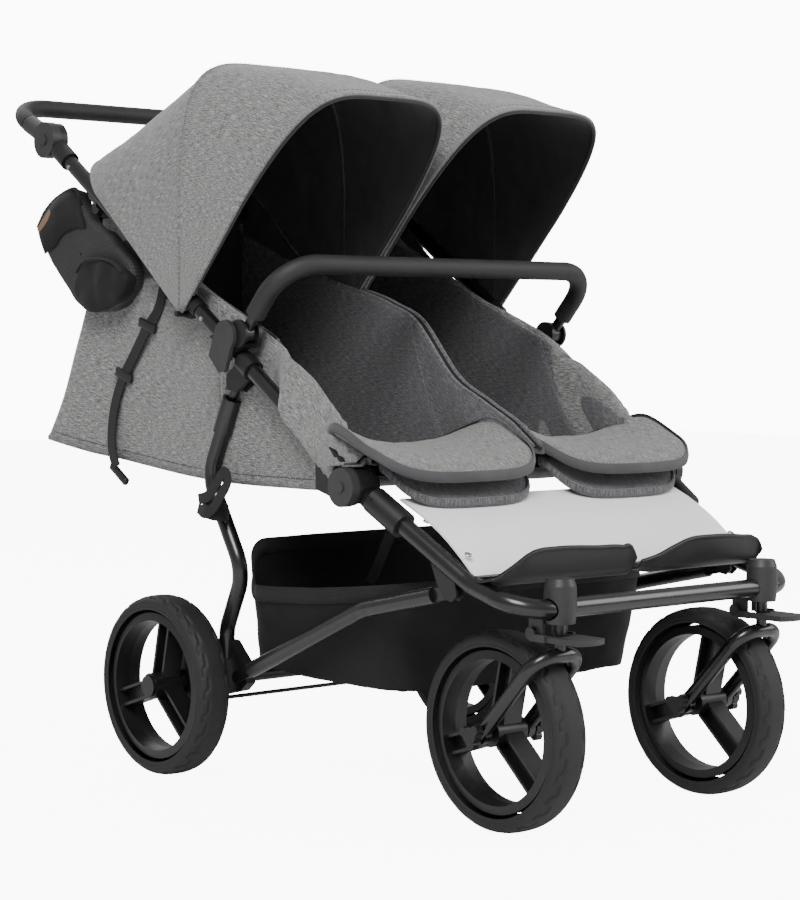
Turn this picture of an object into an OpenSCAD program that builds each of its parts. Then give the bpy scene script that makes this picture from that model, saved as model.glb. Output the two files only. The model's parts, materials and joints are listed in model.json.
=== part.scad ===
// Side-by-side twin stroller with a four-bar folding frame, swivelling front
// wheels, a tilting handle and two deep reclining seats under folding hoods.
// Millimetres. +Z is up, -Y is the direction of travel, X = 0 is the plane of
// symmetry. The origin is on the floor, under the middle of the whole object.
// "right" is the passengers' right hand, which is -X.

/* [Wheels] */
// Outer diameter of the tyres
wheel_d = 254; // [240:1:260]
// Width of a tyre
tyre_w = 50; // [44:1:52]
// Diameter of the seam between tyre and rim
rim_d = 206; // [196:1:210]
// Height of the rear axle's centre line behind the middle
rear_axle_y = 155; // [150:1:160]
// Middle plane of a rear wheel, from the plane of symmetry
rear_wheel_x = 290; // [290:1:296]
// Front wheel axle, along the stroller
front_axle_y = -433.5; // [-436:0.5:-431]
// Caster stem, along the stroller
caster_y = -531.5; // [-534:0.5:-529]
// Caster stem, from the plane of symmetry
caster_x = 188; // [184:1:192]

/* [Frame] */
// Middle line of the main tubes, from the plane of symmetry
main_x = 284; // [282:1:286]
// Diameter of the main tubes
main_d = 22; // [20:1:24]
// Diameter of the front tube
front_d = 24; // [22:1:24]
// Wall thickness of all frame tubes
wall = 2; // [1.5:0.5:3]
// Middle line of the side rails, from the plane of symmetry
rail_x = 255; // [254:1:256]
// Middle line of the rear legs' upper run, from the plane of symmetry
leg_x = 268; // [267:1:269]
// Length of the handle from its pivot to the middle of the grip
handle_len = 137; // [130:1:150]
// Upward tilt of the handle
handle_tilt = 26; // [15:1:30]

/* [Seats] */
// Thickness of the fabric shells
cloth = 4; // [3:0.5:5]
// Outer face of each seat shell, from the plane of symmetry
seat_outer_x = 254; // [250:1:255]
// Inner face of each seat shell, from the plane of symmetry
seat_inner_x = 6; // [6:1:8]
// Thickness of the reclining backs
back_t = 14; // [10:1:16]
// Length of the reclining backs from their hinges
back_len = 468; // [440:1:472]

/* [Hoods] */
// Outer face of each hood, from the plane of symmetry
hood_outer_x = 299; // [298:1:300]
// Inner face of each hood, from the plane of symmetry
hood_inner_x = 3; // [3:1:6]
// Radius of the hood's crown over the rear hoop, the seam and the front hoop
hood_r_rear = 367; // [360:1:380]
// Crown radius at the seam
hood_r_seam = 352; // [345:1:356]
// Crown radius at the front hoop
hood_r_front = 396; // [385:1:405]

/* [Hidden] */

$fn = 64;
black = [0.10, 0.10, 0.105];
rubber = [0.06, 0.06, 0.065];
grey = [0.45, 0.45, 0.46];
gap = 0.6;                       // clearance between moving faces
fit = 0.05;                      // radial clearance of a running fit
wheel_r = wheel_d / 2;
axle_z = wheel_r;                // every wheel stands on the floor

// Pivots of the folding linkage and of the other joints, as [y, z]
fold_yz = [-257, 428];           // upper frame to front frame
rail_front_yz = [-412, 305];     // front frame to side rails
rail_rear_yz = [30, 148];        // side rails to rear legs, the open pivot
leg_yz = [10, 556];              // rear legs to upper frame
handle_yz = [454, 911];          // handle tilt
bar_yz = [-32, 623];             // bumper bar
recline_yz = [-105, 447];        // seat backs
hood_yz = [104, 650];            // hood fan

main_slope = atan2(handle_yz[1] - fold_yz[1], handle_yz[0] - fold_yz[0]);
main_dir = [0, cos(main_slope), sin(main_slope)];

function unit(v) = v / norm(v);
function main_at(x, y) =
    [x, y, fold_yz[1] + (y - fold_yz[0]) * tan(main_slope)];
function turn_at(a, b, c) = acos(unit(b - a) * unit(c - b));
function cut_at(a, b, c, r) = r * tan(turn_at(a, b, c) / 2);

// Shared helpers -------------------------------------------------------------

// Mirrors its children, so that a right-hand piece also gives the left one
module pair() {
    children();
    mirror([1, 0, 0]) children();
}

// Straight round bar from a to b; a wall above 0 makes it a tube
module rod(a, b, d, wall = 0) {
    v = b - a;
    long = norm(v);
    translate(a) rotate([0, acos(v[2] / long), atan2(v[1], v[0])])
        linear_extrude(height = long) difference() {
            circle(d = d);
            if (wall > 0) circle(d = d - 2 * wall);
        }
}

// One round bend of radius r at corner b of the line a, b, c
module bend(a, b, c, r, d, wall = 0) {
    u = unit(b - a);
    v = unit(c - b);
    side = unit(v - u * (u * v));
    centre = b - u * cut_at(a, b, c, r) + side * r;
    w = cross(-side, u);
    multmatrix([[-side[0], u[0], w[0], centre[0]],
                [-side[1], u[1], w[1], centre[1]],
                [-side[2], u[2], w[2], centre[2]],
                [0, 0, 0, 1]])
        rotate_extrude(angle = turn_at(a, b, c)) translate([r, 0]) difference() {
            circle(d = d);
            if (wall > 0) circle(d = d - 2 * wall);
        }
}

// Bent tube through points p, with bend radius r[i] at inner corner i. A fine
// weld bead joins each straight run to its bend, unless bead is 0.
module pipe(p, r, d, wall = 0, bead = 0.3) {
    last = len(p) - 1;
    half = bead > 0 ? 0.2 : 0;
    for (i = [0 : last - 1]) {
        u = unit(p[i + 1] - p[i]);
        a = i == 0 ? p[0] : p[i] + u * cut_at(p[i - 1], p[i], p[i + 1], r[i - 1]);
        b = i == last - 1 ? p[last]
            : p[i + 1] - u * cut_at(p[i], p[i + 1], p[i + 2], r[i]);
        rod(a + (i == 0 ? 0 : half) * u, b - (i == last - 1 ? 0 : half) * u, d, wall);
        ring = wall > 0 ? wall + bead : 0;
        if (bead > 0 && i > 0) rod(a - 0.6 * u, a + 1.2 * u, d + bead, ring);
        if (bead > 0 && i < last - 1) rod(b - 1.2 * u, b + 0.6 * u, d + bead, ring);
    }
    for (i = [1 : last - 1])
        bend(p[i - 1], p[i], p[i + 1], r[i - 1], d, wall);
}

// Cylinder along X, centred on [y, z], between two x values
module disc(yz, x0, x1, d) {
    translate([min(x0, x1), yz[0], yz[1]]) rotate([0, 90, 0])
        cylinder(d = d, h = abs(x1 - x0));
}

// Plate in the YZ plane, between two x values
module plate(outline, x0, x1) {
    translate([min(x0, x1), 0, 0]) rotate([90, 0, 90])
        linear_extrude(height = abs(x1 - x0)) polygon(outline);
}

// Closed skin between two grids of points: outer[i][j] and inner[i][j]
module skin(outer, inner) {
    m = len(outer);
    n = len(outer[0]);
    points = concat([for (row = outer) each row], [for (row = inner) each row]);
    o = m * n;
    faces = concat(
        [for (i = [0 : m - 2], j = [0 : n - 2], k = [0, 1]) k == 0
            ? [i * n + j, i * n + j + 1, (i + 1) * n + j + 1]
            : [i * n + j, (i + 1) * n + j + 1, (i + 1) * n + j]],
        [for (i = [0 : m - 2], j = [0 : n - 2], k = [0, 1]) k == 0
            ? [o + i * n + j, o + (i + 1) * n + j + 1, o + i * n + j + 1]
            : [o + i * n + j, o + (i + 1) * n + j, o + (i + 1) * n + j + 1]],
        [for (j = [0 : n - 2], k = [0, 1]) k == 0
            ? [j, o + j, o + j + 1] : [j, o + j + 1, j + 1]],
        [for (j = [0 : n - 2], k = [0, 1], b = [(m - 1) * n]) k == 0
            ? [b + j, o + b + j + 1, o + b + j] : [b + j, b + j + 1, o + b + j + 1]],
        [for (i = [0 : m - 2], k = [0, 1]) k == 0
            ? [i * n, o + (i + 1) * n, o + i * n]
            : [i * n, (i + 1) * n, o + (i + 1) * n]],
        [for (i = [0 : m - 2], k = [0, 1], e = [n - 1]) k == 0
            ? [i * n + e, o + i * n + e, o + (i + 1) * n + e]
            : [i * n + e, o + (i + 1) * n + e, (i + 1) * n + e]]);
    polyhedron(points = points, faces = faces, convexity = 6);
}

// Wheels ---------------------------------------------------------------------

hub_bore = 12;
hub_half = 25;

// Tyre on a wheel centred on [x, y]
module tyre(x, y) {
    seat = rim_d / 2;
    deep = wheel_r - seat;
    mid = wheel_r - deep * 0.6;
    side = [for (a = [-105 : 15 : 105])
        [mid + deep * 0.6 * sign(cos(a)) * pow(abs(cos(a)), 0.7),
         tyre_w / 2 * sign(sin(a)) * pow(abs(sin(a)), 0.7)]];
    color(rubber) translate([x, y, axle_z]) rotate([0, 90, 0]) rotate_extrude()
        polygon(concat(side, [[seat, tyre_w * 0.38], [seat, -tyre_w * 0.38]]));
}

// Rim with its hub and three channel spokes
module rim(x, y, cap_side) {
    barrel = rim_d / 2 - gap / 4;
    bore_d = hub_bore + 2 * fit;
    color(black) translate([x, y, axle_z]) difference() {
        union() {
            rotate([0, 90, 0]) rotate_extrude() polygon([
                [barrel, -19], [barrel, 19], [barrel - 11, 21], [barrel - 13, 0],
                [barrel - 11, -21]]);
            disc([0, 0], -hub_half, hub_half, 36);
            for (i = [0 : 2]) rotate([120 * i + 12, 0, 0]) {
                for (s = [-1, 1]) translate([-15, s * 11 - 2, 14])
                    cube([30, 4, barrel - 25]);
                translate([-2, -11, 14]) cube([4, 22, barrel - 25]);
            }
            if (cap_side != 0) disc([0, 0], 0, cap_side * (hub_half + 5), 30);
        }
        disc([0, 0], -hub_half - 1, hub_half, bore_d);
        if (cap_side == 0) disc([0, 0], hub_half - 1, hub_half + 1, bore_d);
    }
}

// Front wheel units ----------------------------------------------------------

fork_half = 38;
fork_d = 19;
crown_z = 232;
stem_d = 14;
barrel_z = [272, 328];
front_axle_yz = [front_axle_y, axle_z];

// Bent tube fork with flattened ends and the stem that turns in the housing
module fork(side) {
    x = side * caster_x;
    color(black) difference() {
        union() {
            pipe([[x - fork_half, front_axle_y, axle_z],
                  [x - fork_half, caster_y, crown_z],
                  [x + fork_half, caster_y, crown_z],
                  [x + fork_half, front_axle_y, axle_z]], [27, 27], fork_d);
            for (s = [-1, 1])
                disc(front_axle_yz, x + s * (fork_half - 5), x + s * (fork_half + 5), 26);
            translate([x, caster_y, crown_z]) cylinder(d = stem_d, h = 88);
        }
        disc(front_axle_yz, x - fork_half - 10, x + fork_half + 10, hub_bore + 2 * fit);
    }
}

// Front axle with a three-lobed knob on each end
module front_axle(side) {
    x = side * caster_x;
    color(black) {
        disc(front_axle_yz, x - fork_half - 22, x + fork_half + 22, hub_bore);
        for (s = [-1, 1]) {
            disc(front_axle_yz, x + s * (fork_half + 10), x + s * (fork_half + 22), 22);
            for (i = [0 : 2])
                disc(front_axle_yz + 12 * [cos(120 * i + 20), sin(120 * i + 20)],
                    x + s * (fork_half + 12), x + s * (fork_half + 22), 12);
        }
    }
}

lever_yz = [caster_y + 25, 259];

// Lever under a caster housing that locks the wheel straight
module swivel_lever(side) {
    x = side * caster_x;
    color([0.22, 0.22, 0.23]) difference() {
        union() {
            intersection() {
                translate([x, caster_y - 12, 250]) cylinder(r = 47, h = 7);
                translate([x - 24, caster_y - 70, 240]) cube([48, 76, 30]);
            }
            for (s = [-1, 1]) disc(lever_yz, x + s * 22.2, x + s * 27, 16);
            for (s = [-1, 1]) translate([x + s * 23 - (s < 0 ? 4 : 0), caster_y, 250])
                cube([4, 25, 9]);
        }
        translate([x, caster_y, 240]) cylinder(d = stem_d + 12, h = 30);
    }
}

// Frame joined to the front wheels ------------------------------------------

front_top = [-277, fold_yz[0], fold_yz[1]];
front_low = [-250, -437, 316];
front_corner = [-250, caster_y, 290];

function left_of(p) = [-p[0], p[1], p[2]];
function front_path() = [front_top + 62 * unit(front_low - front_top), front_low,
    front_corner, left_of(front_corner), left_of(front_low),
    left_of(front_top + 62 * unit(front_low - front_top))];

front_bends = [60, 50, 50, 60];

// Outer shape of the front tube, to cut seats for it in other pieces
module front_space() { pipe(front_path(), front_bends, front_d + 0.8, 0, 0); }

// One bent tube: down from both hinges, level, and across between the casters
module front_tube() {
    color(black) difference() {
        pipe(front_path(), front_bends, front_d, wall);
        pair() translate([-caster_x, caster_y, 250]) cylinder(d = stem_d + 1, h = 80);
    }
}

// Barrel that holds each caster stem, drilled for the front tube
module caster_housings() {
    color([0.2, 0.2, 0.21]) difference() {
        pair() {
            translate([-caster_x, caster_y, 0]) rotate_extrude() polygon([
                [0, barrel_z[0]], [19, barrel_z[0]], [21, 292], [20, 318],
                [17, 327], [0, barrel_z[1]]]);
            // Ears for the swivel lever's pivot
            for (s = [-1, 1]) translate([-caster_x + s * 19.5 - 2.4, caster_y + 8, 254])
                cube([4.8, 24, 24]);
        }
        disc([caster_y, front_corner[2]], -198, 198, front_d + 0.02);
        pair() disc([caster_y, front_corner[2]], -230, -198, front_d + 3);
        pair() translate([-caster_x, caster_y, 240])
            cylinder(d = stem_d + 2 * fit, h = 81);
    }
}

// Fat sleeve on each end of the front tube, with the tongue of the fold hinge
module hinge_sleeves() {
    dir = unit(front_low - front_top);
    run = 40 * unit([front_low[1], front_low[2]] - fold_yz);
    side = [-run[1], run[0]] * 0.23;
    color(black) pair() {
        difference() {
            union() {
                rod(front_top + 30 * dir, front_top + 88 * dir, 36);
                disc(fold_yz, -289, -271, 44);
                plate([fold_yz + side, fold_yz + side + run, fold_yz - side + run,
                       fold_yz - side], -289, -271);
            }
            rod(front_top + 61 * dir, front_top + 110 * dir, front_d);
            disc(fold_yz, -300, -260, 10 + 2 * fit);
        }
    }
}

// Cheeks under the front tube that hold the side rails
module rail_brackets() {
    y = rail_front_yz[0];
    z = rail_front_yz[1];
    color(black) difference() {
        pair() for (s = [-1, 1])
            plate([[y - 14, z - 4], [y - 5, z - 12], [y + 9, z - 10], [y + 22, z + 8],
                   [y + 38, z + 42], [y - 8, z + 20]],
                  -rail_x + s * 4.8, -rail_x + s * 7.3);
        front_space();
    }
}

plate_top = [-306, 414];
plate_low = [-446, 327];

// Curved panel over the front tubes
module footplate() {
    run = plate_low - plate_top;
    out = [run[1], -run[0]] / norm(run);
    arc = [for (t = [0 : 0.125 : 1]) plate_top + run * t + out * 9 * sin(180 * t)];
    back = [for (t = [1 : -0.125 : 0])
        plate_top + run * t + out * (9 * sin(180 * t) - 3)];
    color("white") difference() {
        plate(concat(arc, back), -250, 250);
        front_space();
        hinge_space();
    }
}

// Room round the fold hinges that the panel stays out of
module hinge_space() {
    dir = unit(front_low - front_top);
    pair() rod(front_top, front_top + 106 * dir, 34.5);
}

// Moulded lip for one passenger's feet; the left one is the mirror image
module footrest() {
    y = plate_low[0];
    z = plate_low[1];
    outline = [[y - 1, z - 8], [y - 22, z - 10], [y - 32, z - 4], [y - 40, z + 22],
               [y - 43, z + 21], [y - 35, z - 7], [y - 23, z - 14], [y - 1, z - 13]];
    color([0.2, 0.2, 0.21]) plate(outline, -236, -8);
}

// Side rails and basket -------------------------------------------------------

rail_bend = [-240, 267];

// Tubes from the rear legs to the front frame, with flat tongues at both ends
module side_rails() {
    front_dir = unit(rail_bend - rail_front_yz);
    rear_dir = unit(rail_bend - rail_rear_yz);
    a = rail_front_yz + 34 * front_dir;
    b = rail_rear_yz + 34 * rear_dir;
    color(black) pair() {
        pipe([[-rail_x, a[0], a[1]], [-rail_x, rail_bend[0], rail_bend[1]],
              [-rail_x, b[0], b[1]]], [120], main_d);
        tongue(rail_front_yz, front_dir);
        tongue(rail_rear_yz, rear_dir);
    }
}

// Flattened end of a rail, round at its pivot
module tongue(p, dir) {
    side = [-dir[1], dir[0]] * 8.5;
    disc(p, -rail_x - 4, -rail_x + 4, 17);
    plate([p + side, p + side + 38 * dir, p - side + 38 * dir, p - side],
        -rail_x - 4, -rail_x + 4);
}

basket_top = [[-296, 292], [46, 266]];    // front and rear of the rim, as [y, z]
basket_low = [[-262, 156], [72, 142]];    // front and rear of the floor

// Open basket between the side rails
module basket() {
    color(black) {
        difference() {
            basket_body(0);
            basket_body(cloth);
        }
        plate([[46, 262], [46, 328], [42, 328], [42, 262]], -225, 225);
    }
}

// Solid shape of the basket, or of its inside when t is the cloth's thickness
module basket_body(t) {
    rim_x = 238 - t;
    low_x = 205 - t;
    up = t > 0 ? 1 : 0;
    hull() for (i = [0, 1]) {
        s = i == 0 ? 1 : -1;
        translate([-rim_x, basket_top[i][0] + s * t - (i == 0 ? 0 : 2),
                   basket_top[i][1] - 2 + up * 3]) cube([2 * rim_x, 2, 2]);
        translate([-low_x, basket_low[i][0] + s * t - (i == 0 ? 0 : 2),
                   basket_low[i][1] + t]) cube([2 * low_x, 2, 2]);
    }
}

// Rear legs, axle and brake ---------------------------------------------------

leg_top = [leg_yz[0] + 15, leg_yz[1] - 22];

// Cranked tubes that carry the rear axle
module rear_legs() {
    x = -leg_x;
    path = [[x, leg_top[0], leg_top[1]], [x, 78, 424], [x, 0, 296], [-249, 62, 214],
            [-249, 66, 172]];
    color(black) pair() {
        pipe(path, [50, 45, 30], main_d, wall);
        // Eye and ferrule at the upper end
        difference() {
            union() {
                disc(leg_yz, x - 6, x + 6, 24);
                rod([x, leg_yz[0] + 5, leg_yz[1] - 8], path[0], 12);
                rod(path[0], path[0] + 52 * unit(path[1] - path[0]), main_d + 5);
            }
            rod(path[0], path[0] + 60 * unit(path[1] - path[0]), main_d);
            disc(leg_yz, x - 10, x + 10, 8 + 2 * fit);
        }
    }
}

axle_yz = [rear_axle_y, axle_z];

// Cross tube with a stub for each rear wheel
module rear_axle() {
    color(black) {
        disc(axle_yz, -234, 234, main_d);
        pair() disc(axle_yz, -240, -rear_wheel_x - hub_half + 3, hub_bore);
    }
}

// Moulding that joins each leg to the axle, with the brake housing on it
module axle_brackets() {
    y = rail_rear_yz[0];
    z = rail_rear_yz[1];
    color([0.13, 0.13, 0.135]) difference() {
        pair() {
            plate([[y - 14, z - 8], [y - 12, z + 16], [52, 196], [84, 196], [104, 160],
                   [160, 146], [172, 120], [150, 104], [96, 112], [y, z - 20]],
                  -250.4, -235);
            disc(axle_yz, -262, -235, 118);
        }
        pair() {
            rod([-249, 62, 214], [-249, 66, 172], main_d);
            disc(axle_yz, -236, -234, main_d);
            disc(axle_yz, -270, -230, hub_bore);
        }
    }
}

// Brake pedals and the rod that links them under the axle
module brake_bar() {
    yz = [rear_axle_y + 26, 92];
    color([0.7, 0.1, 0.12]) {
        disc(yz, -226, 226, 6);
        for (x = [-216, 176]) translate([x, yz[0] - 4, yz[1] - 26])
            cube([40, 46, 8]);
        for (x = [-216, 176]) translate([x + 14, yz[0] - 4, yz[1] - 26])
            cube([12, 12, 26]);
    }
}

// Upper frame -------------------------------------------------------------------

module main_tube() {
    start = [-main_x, fold_yz[0], fold_yz[1]] + 34 * main_dir;
    end = [-main_x, handle_yz[0], handle_yz[1]] - 30 * main_dir;
    color(black) rod(start, end, main_d, wall);
}

rear_cross_y = 325;
cross_d = 19;

// Cross bar behind the seats, hung under the main tubes by a saddle at each end
module rear_cross_tube() {
    at = main_at(-main_x, rear_cross_y);
    under = [0, main_dir[2], -main_dir[1]];
    a = at + (main_d / 2 + cross_d / 2 + 0.2) * under;
    color(black) difference() {
        union() {
            rod(a, left_of(a), cross_d);
            pair() rod(at + 6 * under - 11 * main_dir, at + 6 * under + 11 * main_dir, 20);
        }
        pair() rod(at - 30 * main_dir, at + 30 * main_dir, main_d);
    }
}

seat_cross_yz = [-206, 436];

// Cross tube under the front of the seats, between the hinge housings
module seat_cross_tube() {
    color(black) disc(seat_cross_yz, -262, 262, 18);
}

// Clevis of each fold hinge, with its pin and the socket of the main tube
module hinge_housings() {
    start = [-main_x, fold_yz[0], fold_yz[1]];
    color([0.13, 0.13, 0.135]) pair() {
        difference() {
            union() {
                // Cheeks on both sides of the tongue
                for (x = [[-296, -289 - gap], [-271 + gap, -262]]) {
                    disc(fold_yz, x[0], x[1], 48);
                    plate([fold_yz + [-8, 22], fold_yz + [38, 50], fold_yz + [66, 30],
                           [seat_cross_yz[0] + 14, seat_cross_yz[1] - 14],
                           fold_yz + [10, -21]], x[0], x[1]);
                }
                rod(start + 30 * main_dir, start + 74 * main_dir, 31);
                disc(fold_yz, -292, -266, 10);
            }
            rod(start + 33.9 * main_dir, start + 90 * main_dir, main_d);
        }
    }
}

// Round cap over each fold hinge, with its release button
module hinge_caps() {
    color([0.2, 0.2, 0.21]) pair() {
        disc(fold_yz, -296.2, -309, 50);
        disc(fold_yz, -309, -311, 14);
    }
}

lever_pin_yz = bar_yz + [22, -4];

// Collar on each main tube that carries the bumper bar and the fold lever
module bar_hubs() {
    at = main_at(-main_x, bar_yz[0] + 42);
    color([0.13, 0.13, 0.135]) difference() {
        pair() {
            rod(at - 18 * main_dir, at + 18 * main_dir, 31);
            disc(bar_yz, -273, -302, 38);
            plate([bar_yz + [-14, -12], [at[1] - 18, at[2] - 20], [at[1] + 24, at[2] + 10],
                   bar_yz + [16, 10]], -281, -300);
        }
        pair() {
            rod(at - 40 * main_dir, at + 40 * main_dir, main_d);
            disc(lever_pin_yz, -292, -303, 8 + 2 * fit);
        }
        bar_slots();
    }
}

// Slot in each hub for the end of the bumper bar, over the bar's whole travel
module bar_slots() {
    pair() {
        disc(bar_yz, -280.4 + gap, -297.6 - gap, 27 + 2 * gap);
        plate([bar_yz + 10 * [cos(-5), sin(-5)], bar_yz + 70 * [cos(60), sin(60)],
               bar_yz + 90 * [cos(135), sin(135)], bar_yz + 70 * [cos(210), sin(210)],
               bar_yz + 10 * [cos(275), sin(275)]], -280.4 + gap, -297.6 - gap);
    }
}

// Bracket that hangs each rear leg from the main tube
module leg_brackets() {
    at = main_at(-main_x, leg_yz[0] - 44);
    y = leg_yz[0];
    z = leg_yz[1];
    color([0.13, 0.13, 0.135]) pair() {
        difference() {
            union() {
                rod(at - 12 * main_dir, at + 14 * main_dir, 30);
                for (x = [[-leg_x - 6 - gap, -leg_x - 12], [-leg_x + 6 + gap, -leg_x + 10]])
                    plate([[y - 44, z + 8], [y - 8, z - 13], [y + 13, z - 9],
                           [y + 12, z + 12], [y - 24, z + 34]], x[0], x[1]);
                disc(leg_yz, -leg_x - 8, -leg_x + 8, 8);
            }
            rod(at - 60 * main_dir, at + 60 * main_dir, main_d);
        }
    }
}

// Lower half of each handle adjuster, fixed on the main tube
module adjuster_sockets() {
    end = [-main_x, handle_yz[0], handle_yz[1]];
    color([0.13, 0.13, 0.135]) pair() {
        difference() {
            union() {
                rod(end - 62 * main_dir, end - 22 * main_dir, 29);
                disc(handle_yz, -main_x + 1 + gap, -main_x + 13, 52);
            }
            rod(end - 70 * main_dir, end - 30 * main_dir, main_d);
            disc(handle_yz, -main_x + 1, -main_x - 40, 57);
        }
    }
}

// Clips under the main tubes, with the pin each hood turns on
module hood_clips() {
    at = main_at(-main_x, hood_yz[0] - 21);
    color(black) pair() difference() {
        union() {
            rod(at - 9 * main_dir, at + 9 * main_dir, main_d + 3);
            plate([hood_yz + [-26, 6], hood_yz + [-7, -7], hood_yz + [8, -4],
                   hood_yz + [-6, 24]], -288, -280);
            disc(hood_yz, -280, -hood_outer_x - wire - 2, 8);
        }
        rod(at - 20 * main_dir, at + 20 * main_dir, main_d);
    }
}

// Rivets through the main tubes
module frame_rivets() {
    color("silver") pair() difference() {
        for (y = [60, 390])
            disc([y, main_at(0, y)[2]], -main_x - main_d / 2 - 1.2, -main_x - main_d / 2 + 0.5, 6);
        rod(main_at(-main_x, 30), main_at(-main_x, 420), main_d);
    }
}

// Handle ---------------------------------------------------------------------------

handle_dir = [cos(handle_tilt), sin(handle_tilt)];
function handle_pt(x, s) =
    [x, handle_yz[0] + s * handle_dir[0], handle_yz[1] + s * handle_dir[1]];
grip_corner = 70;

function handle_path() = [handle_pt(-main_x, 32), handle_pt(-main_x, handle_len),
    handle_pt(main_x, handle_len), handle_pt(main_x, 32)];

// Bent cross tube of the handle
module handle_tube() {
    color(black) pipe(handle_path(), [grip_corner, grip_corner], main_d, wall);
}

// Foam grip over the handle's cross tube
module handle_grip() {
    color(rubber) pipe([handle_pt(-main_x, 66), handle_pt(-main_x, handle_len),
        handle_pt(main_x, handle_len), handle_pt(main_x, 66)],
        [grip_corner, grip_corner], 27, (26 - main_d) / 2);
}

// Turning half of each adjuster, with its button and the handle's ferrule
module adjuster_discs() {
    color([0.2, 0.2, 0.21]) pair() difference() {
        union() {
            disc(handle_yz, -main_x + 1, -main_x - 14, 54);
            rod(handle_pt(-main_x, 20), handle_pt(-main_x, 64), 28);
            disc(handle_yz, -main_x - 14, -main_x - 16, 16);
        }
        rod(handle_pt(-main_x, 32), handle_pt(-main_x, 70), main_d);
        disc(handle_yz, -main_x + 1 + gap / 2, -main_x + 40, 53);
    }
}

// Bumper bar -----------------------------------------------------------------------

bar_len = 124;
bar_angle = 132;
bar_out = [cos(bar_angle), sin(bar_angle)];
function bar_pt(x, s) = [x, bar_yz[0] + s * bar_out[0], bar_yz[1] + s * bar_out[1]];

// Bar across both seats, with an eye in each hub
module bumper_bar() {
    x = -289;
    color(black) {
        pipe([bar_pt(x, 0), bar_pt(x, bar_len), bar_pt(-x, bar_len), bar_pt(-x, 0)],
            [58, 58], 16);
        pair() disc(bar_yz, -280.4, -297.6, 27);
    }
}

// Rubber grip over the bar
module bumper_grip() {
    x = -289;
    color(rubber) pipe([bar_pt(x, 34), bar_pt(x, bar_len), bar_pt(-x, bar_len),
        bar_pt(-x, 34)], [58, 58], 27, 5);
}

// Lever plate that releases the fold; the left one is the mirror image
module fold_lever() {
    y = lever_pin_yz[0];
    z = lever_pin_yz[1];
    color([0.3, 0.3, 0.31]) {
        disc(lever_pin_yz, -293, -304, 8);
        disc(lever_pin_yz, -303, -309, 44);
        plate([[y - 15, z - 16], [y + 21, z + 7], [y + 34, z - 26], [y + 12, z - 48],
               [y - 2, z - 48]], -303, -309);
    }
}

// Seats ------------------------------------------------------------------------------

side_outline = [[-256, 446], [-206, 424], [-60, 421], [120, 424], [300, 443], [462, 466],
    [345, 660], [352, 790], [60, 622], [-40, 598], [-110, 535], [-190, 492], [-262, 470]];
inner_outline = [[-256, 446], [-206, 424], [-60, 421], [120, 424], [300, 443],
    [462, 466], [345, 660], [350, 770], [120, 690], [-60, 643], [-125, 575], [-262, 500]];

// Fabric tub of one seat: two sides, a rear wall and the front of its floor
module seat_shell() {
    color(grey) difference() {
        union() {
            plate(side_outline, -seat_outer_x, -seat_outer_x + cloth);
            plate(inner_outline, -seat_inner_x - cloth, -seat_inner_x);
            plate([[462, 466], [345, 660], [352, 790], [352 - cloth, 790],
                   [345 - cloth, 660], [457, 466]], -seat_outer_x + 1, -seat_inner_x - 1);
            plate([[-258, 449], [-206, 447.5], [-116, 446], [-116, 441], [-206, 445.4],
                   [-258, 446]], -seat_outer_x + 1, -seat_inner_x - 1);
        }
        disc(seat_cross_yz, -270, 0, 18.6);
    }
}

// Reclining back of one seat
module seat_back() {
    y = recline_yz[0];
    z = recline_yz[1];
    x0 = cloth + 1.5 - seat_outer_x;
    x1 = -seat_inner_x - cloth - 1.5;
    color(black) {
        disc(recline_yz, x0, x1, back_t);
        plate([[y, z - back_t / 2], [y + back_len, z + 12 - back_t / 2],
               [y + back_len, z + 12 + back_t / 2], [y, z + back_t / 2]], x0, x1);
    }
}

// Padded front of one seat
module seat_pad() {
    x1 = -seat_inner_x - cloth - 0.5;
    color(grey) intersection() {
        plate([[-345, 446], [-262, 452], [-116, 455], [-116, 468], [-200, 472],
               [-300, 466], [-345, 458]], -288, x1);
        union() {
            pad_plan(-288, x1, -345, -286, 50);
            translate([cloth + 1.5 - seat_outer_x, -287, 380])
                cube([x1 + seat_outer_x - cloth - 1.5, 171, 120]);
        }
    }
}

// Lower pad in front of one passenger's calves
module calf_pad() {
    color([0.25, 0.25, 0.26]) intersection() {
        plate([[-336, 406], [-300, 420], [-285, 432], [-268, 443], [-260, 447],
               [-268, 450], [-300, 442], [-336, 424]], -249, -28);
        pad_plan(-249, -28, -336, -200, 50);
    }
}

// Plan of a pad: square at the back, with round front corners of radius r
module pad_plan(x0, x1, y0, y1, r) {
    translate([0, 0, 380]) linear_extrude(height = 120) intersection() {
        translate([x0, y0]) square([x1 - x0, y1 - y0]);
        union() {
            translate([x0, y0 + r]) square([x1 - x0, y1 - y0]);
            translate([x0 + r, y0]) square([x1 - x0 - 2 * r, y1 - y0]);
            translate([x0 + r, y0 + r]) circle(r = r);
            translate([x1 - r, y0 + r]) circle(r = r);
        }
    }
}

// Hoods --------------------------------------------------------------------------------

fan_rear = 40;
fan_seam = 90;
fan_front = 133;
hood_mid = (hood_outer_x + hood_inner_x) / 2;
hood_half = (hood_outer_x - hood_inner_x) / 2;

// Radius at angle a of the straight line between the polar points (r0, a0) and (r1, a1)
function chord(a, r0, a0, r1, a1) =
    r0 * r1 * sin(a1 - a0) / (r0 * sin(a - a0) + r1 * sin(a1 - a));

hood_bulge = 9;

// Crown radius of the hood at fan angle a
function crown(a) = a < fan_seam
    ? chord(a, hood_r_rear, fan_rear, hood_r_seam, fan_seam)
    : chord(a, hood_r_seam, fan_seam, hood_r_front, fan_front)
      + hood_bulge * sin(180 * (a - fan_seam) / (fan_front - fan_seam));

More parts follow.
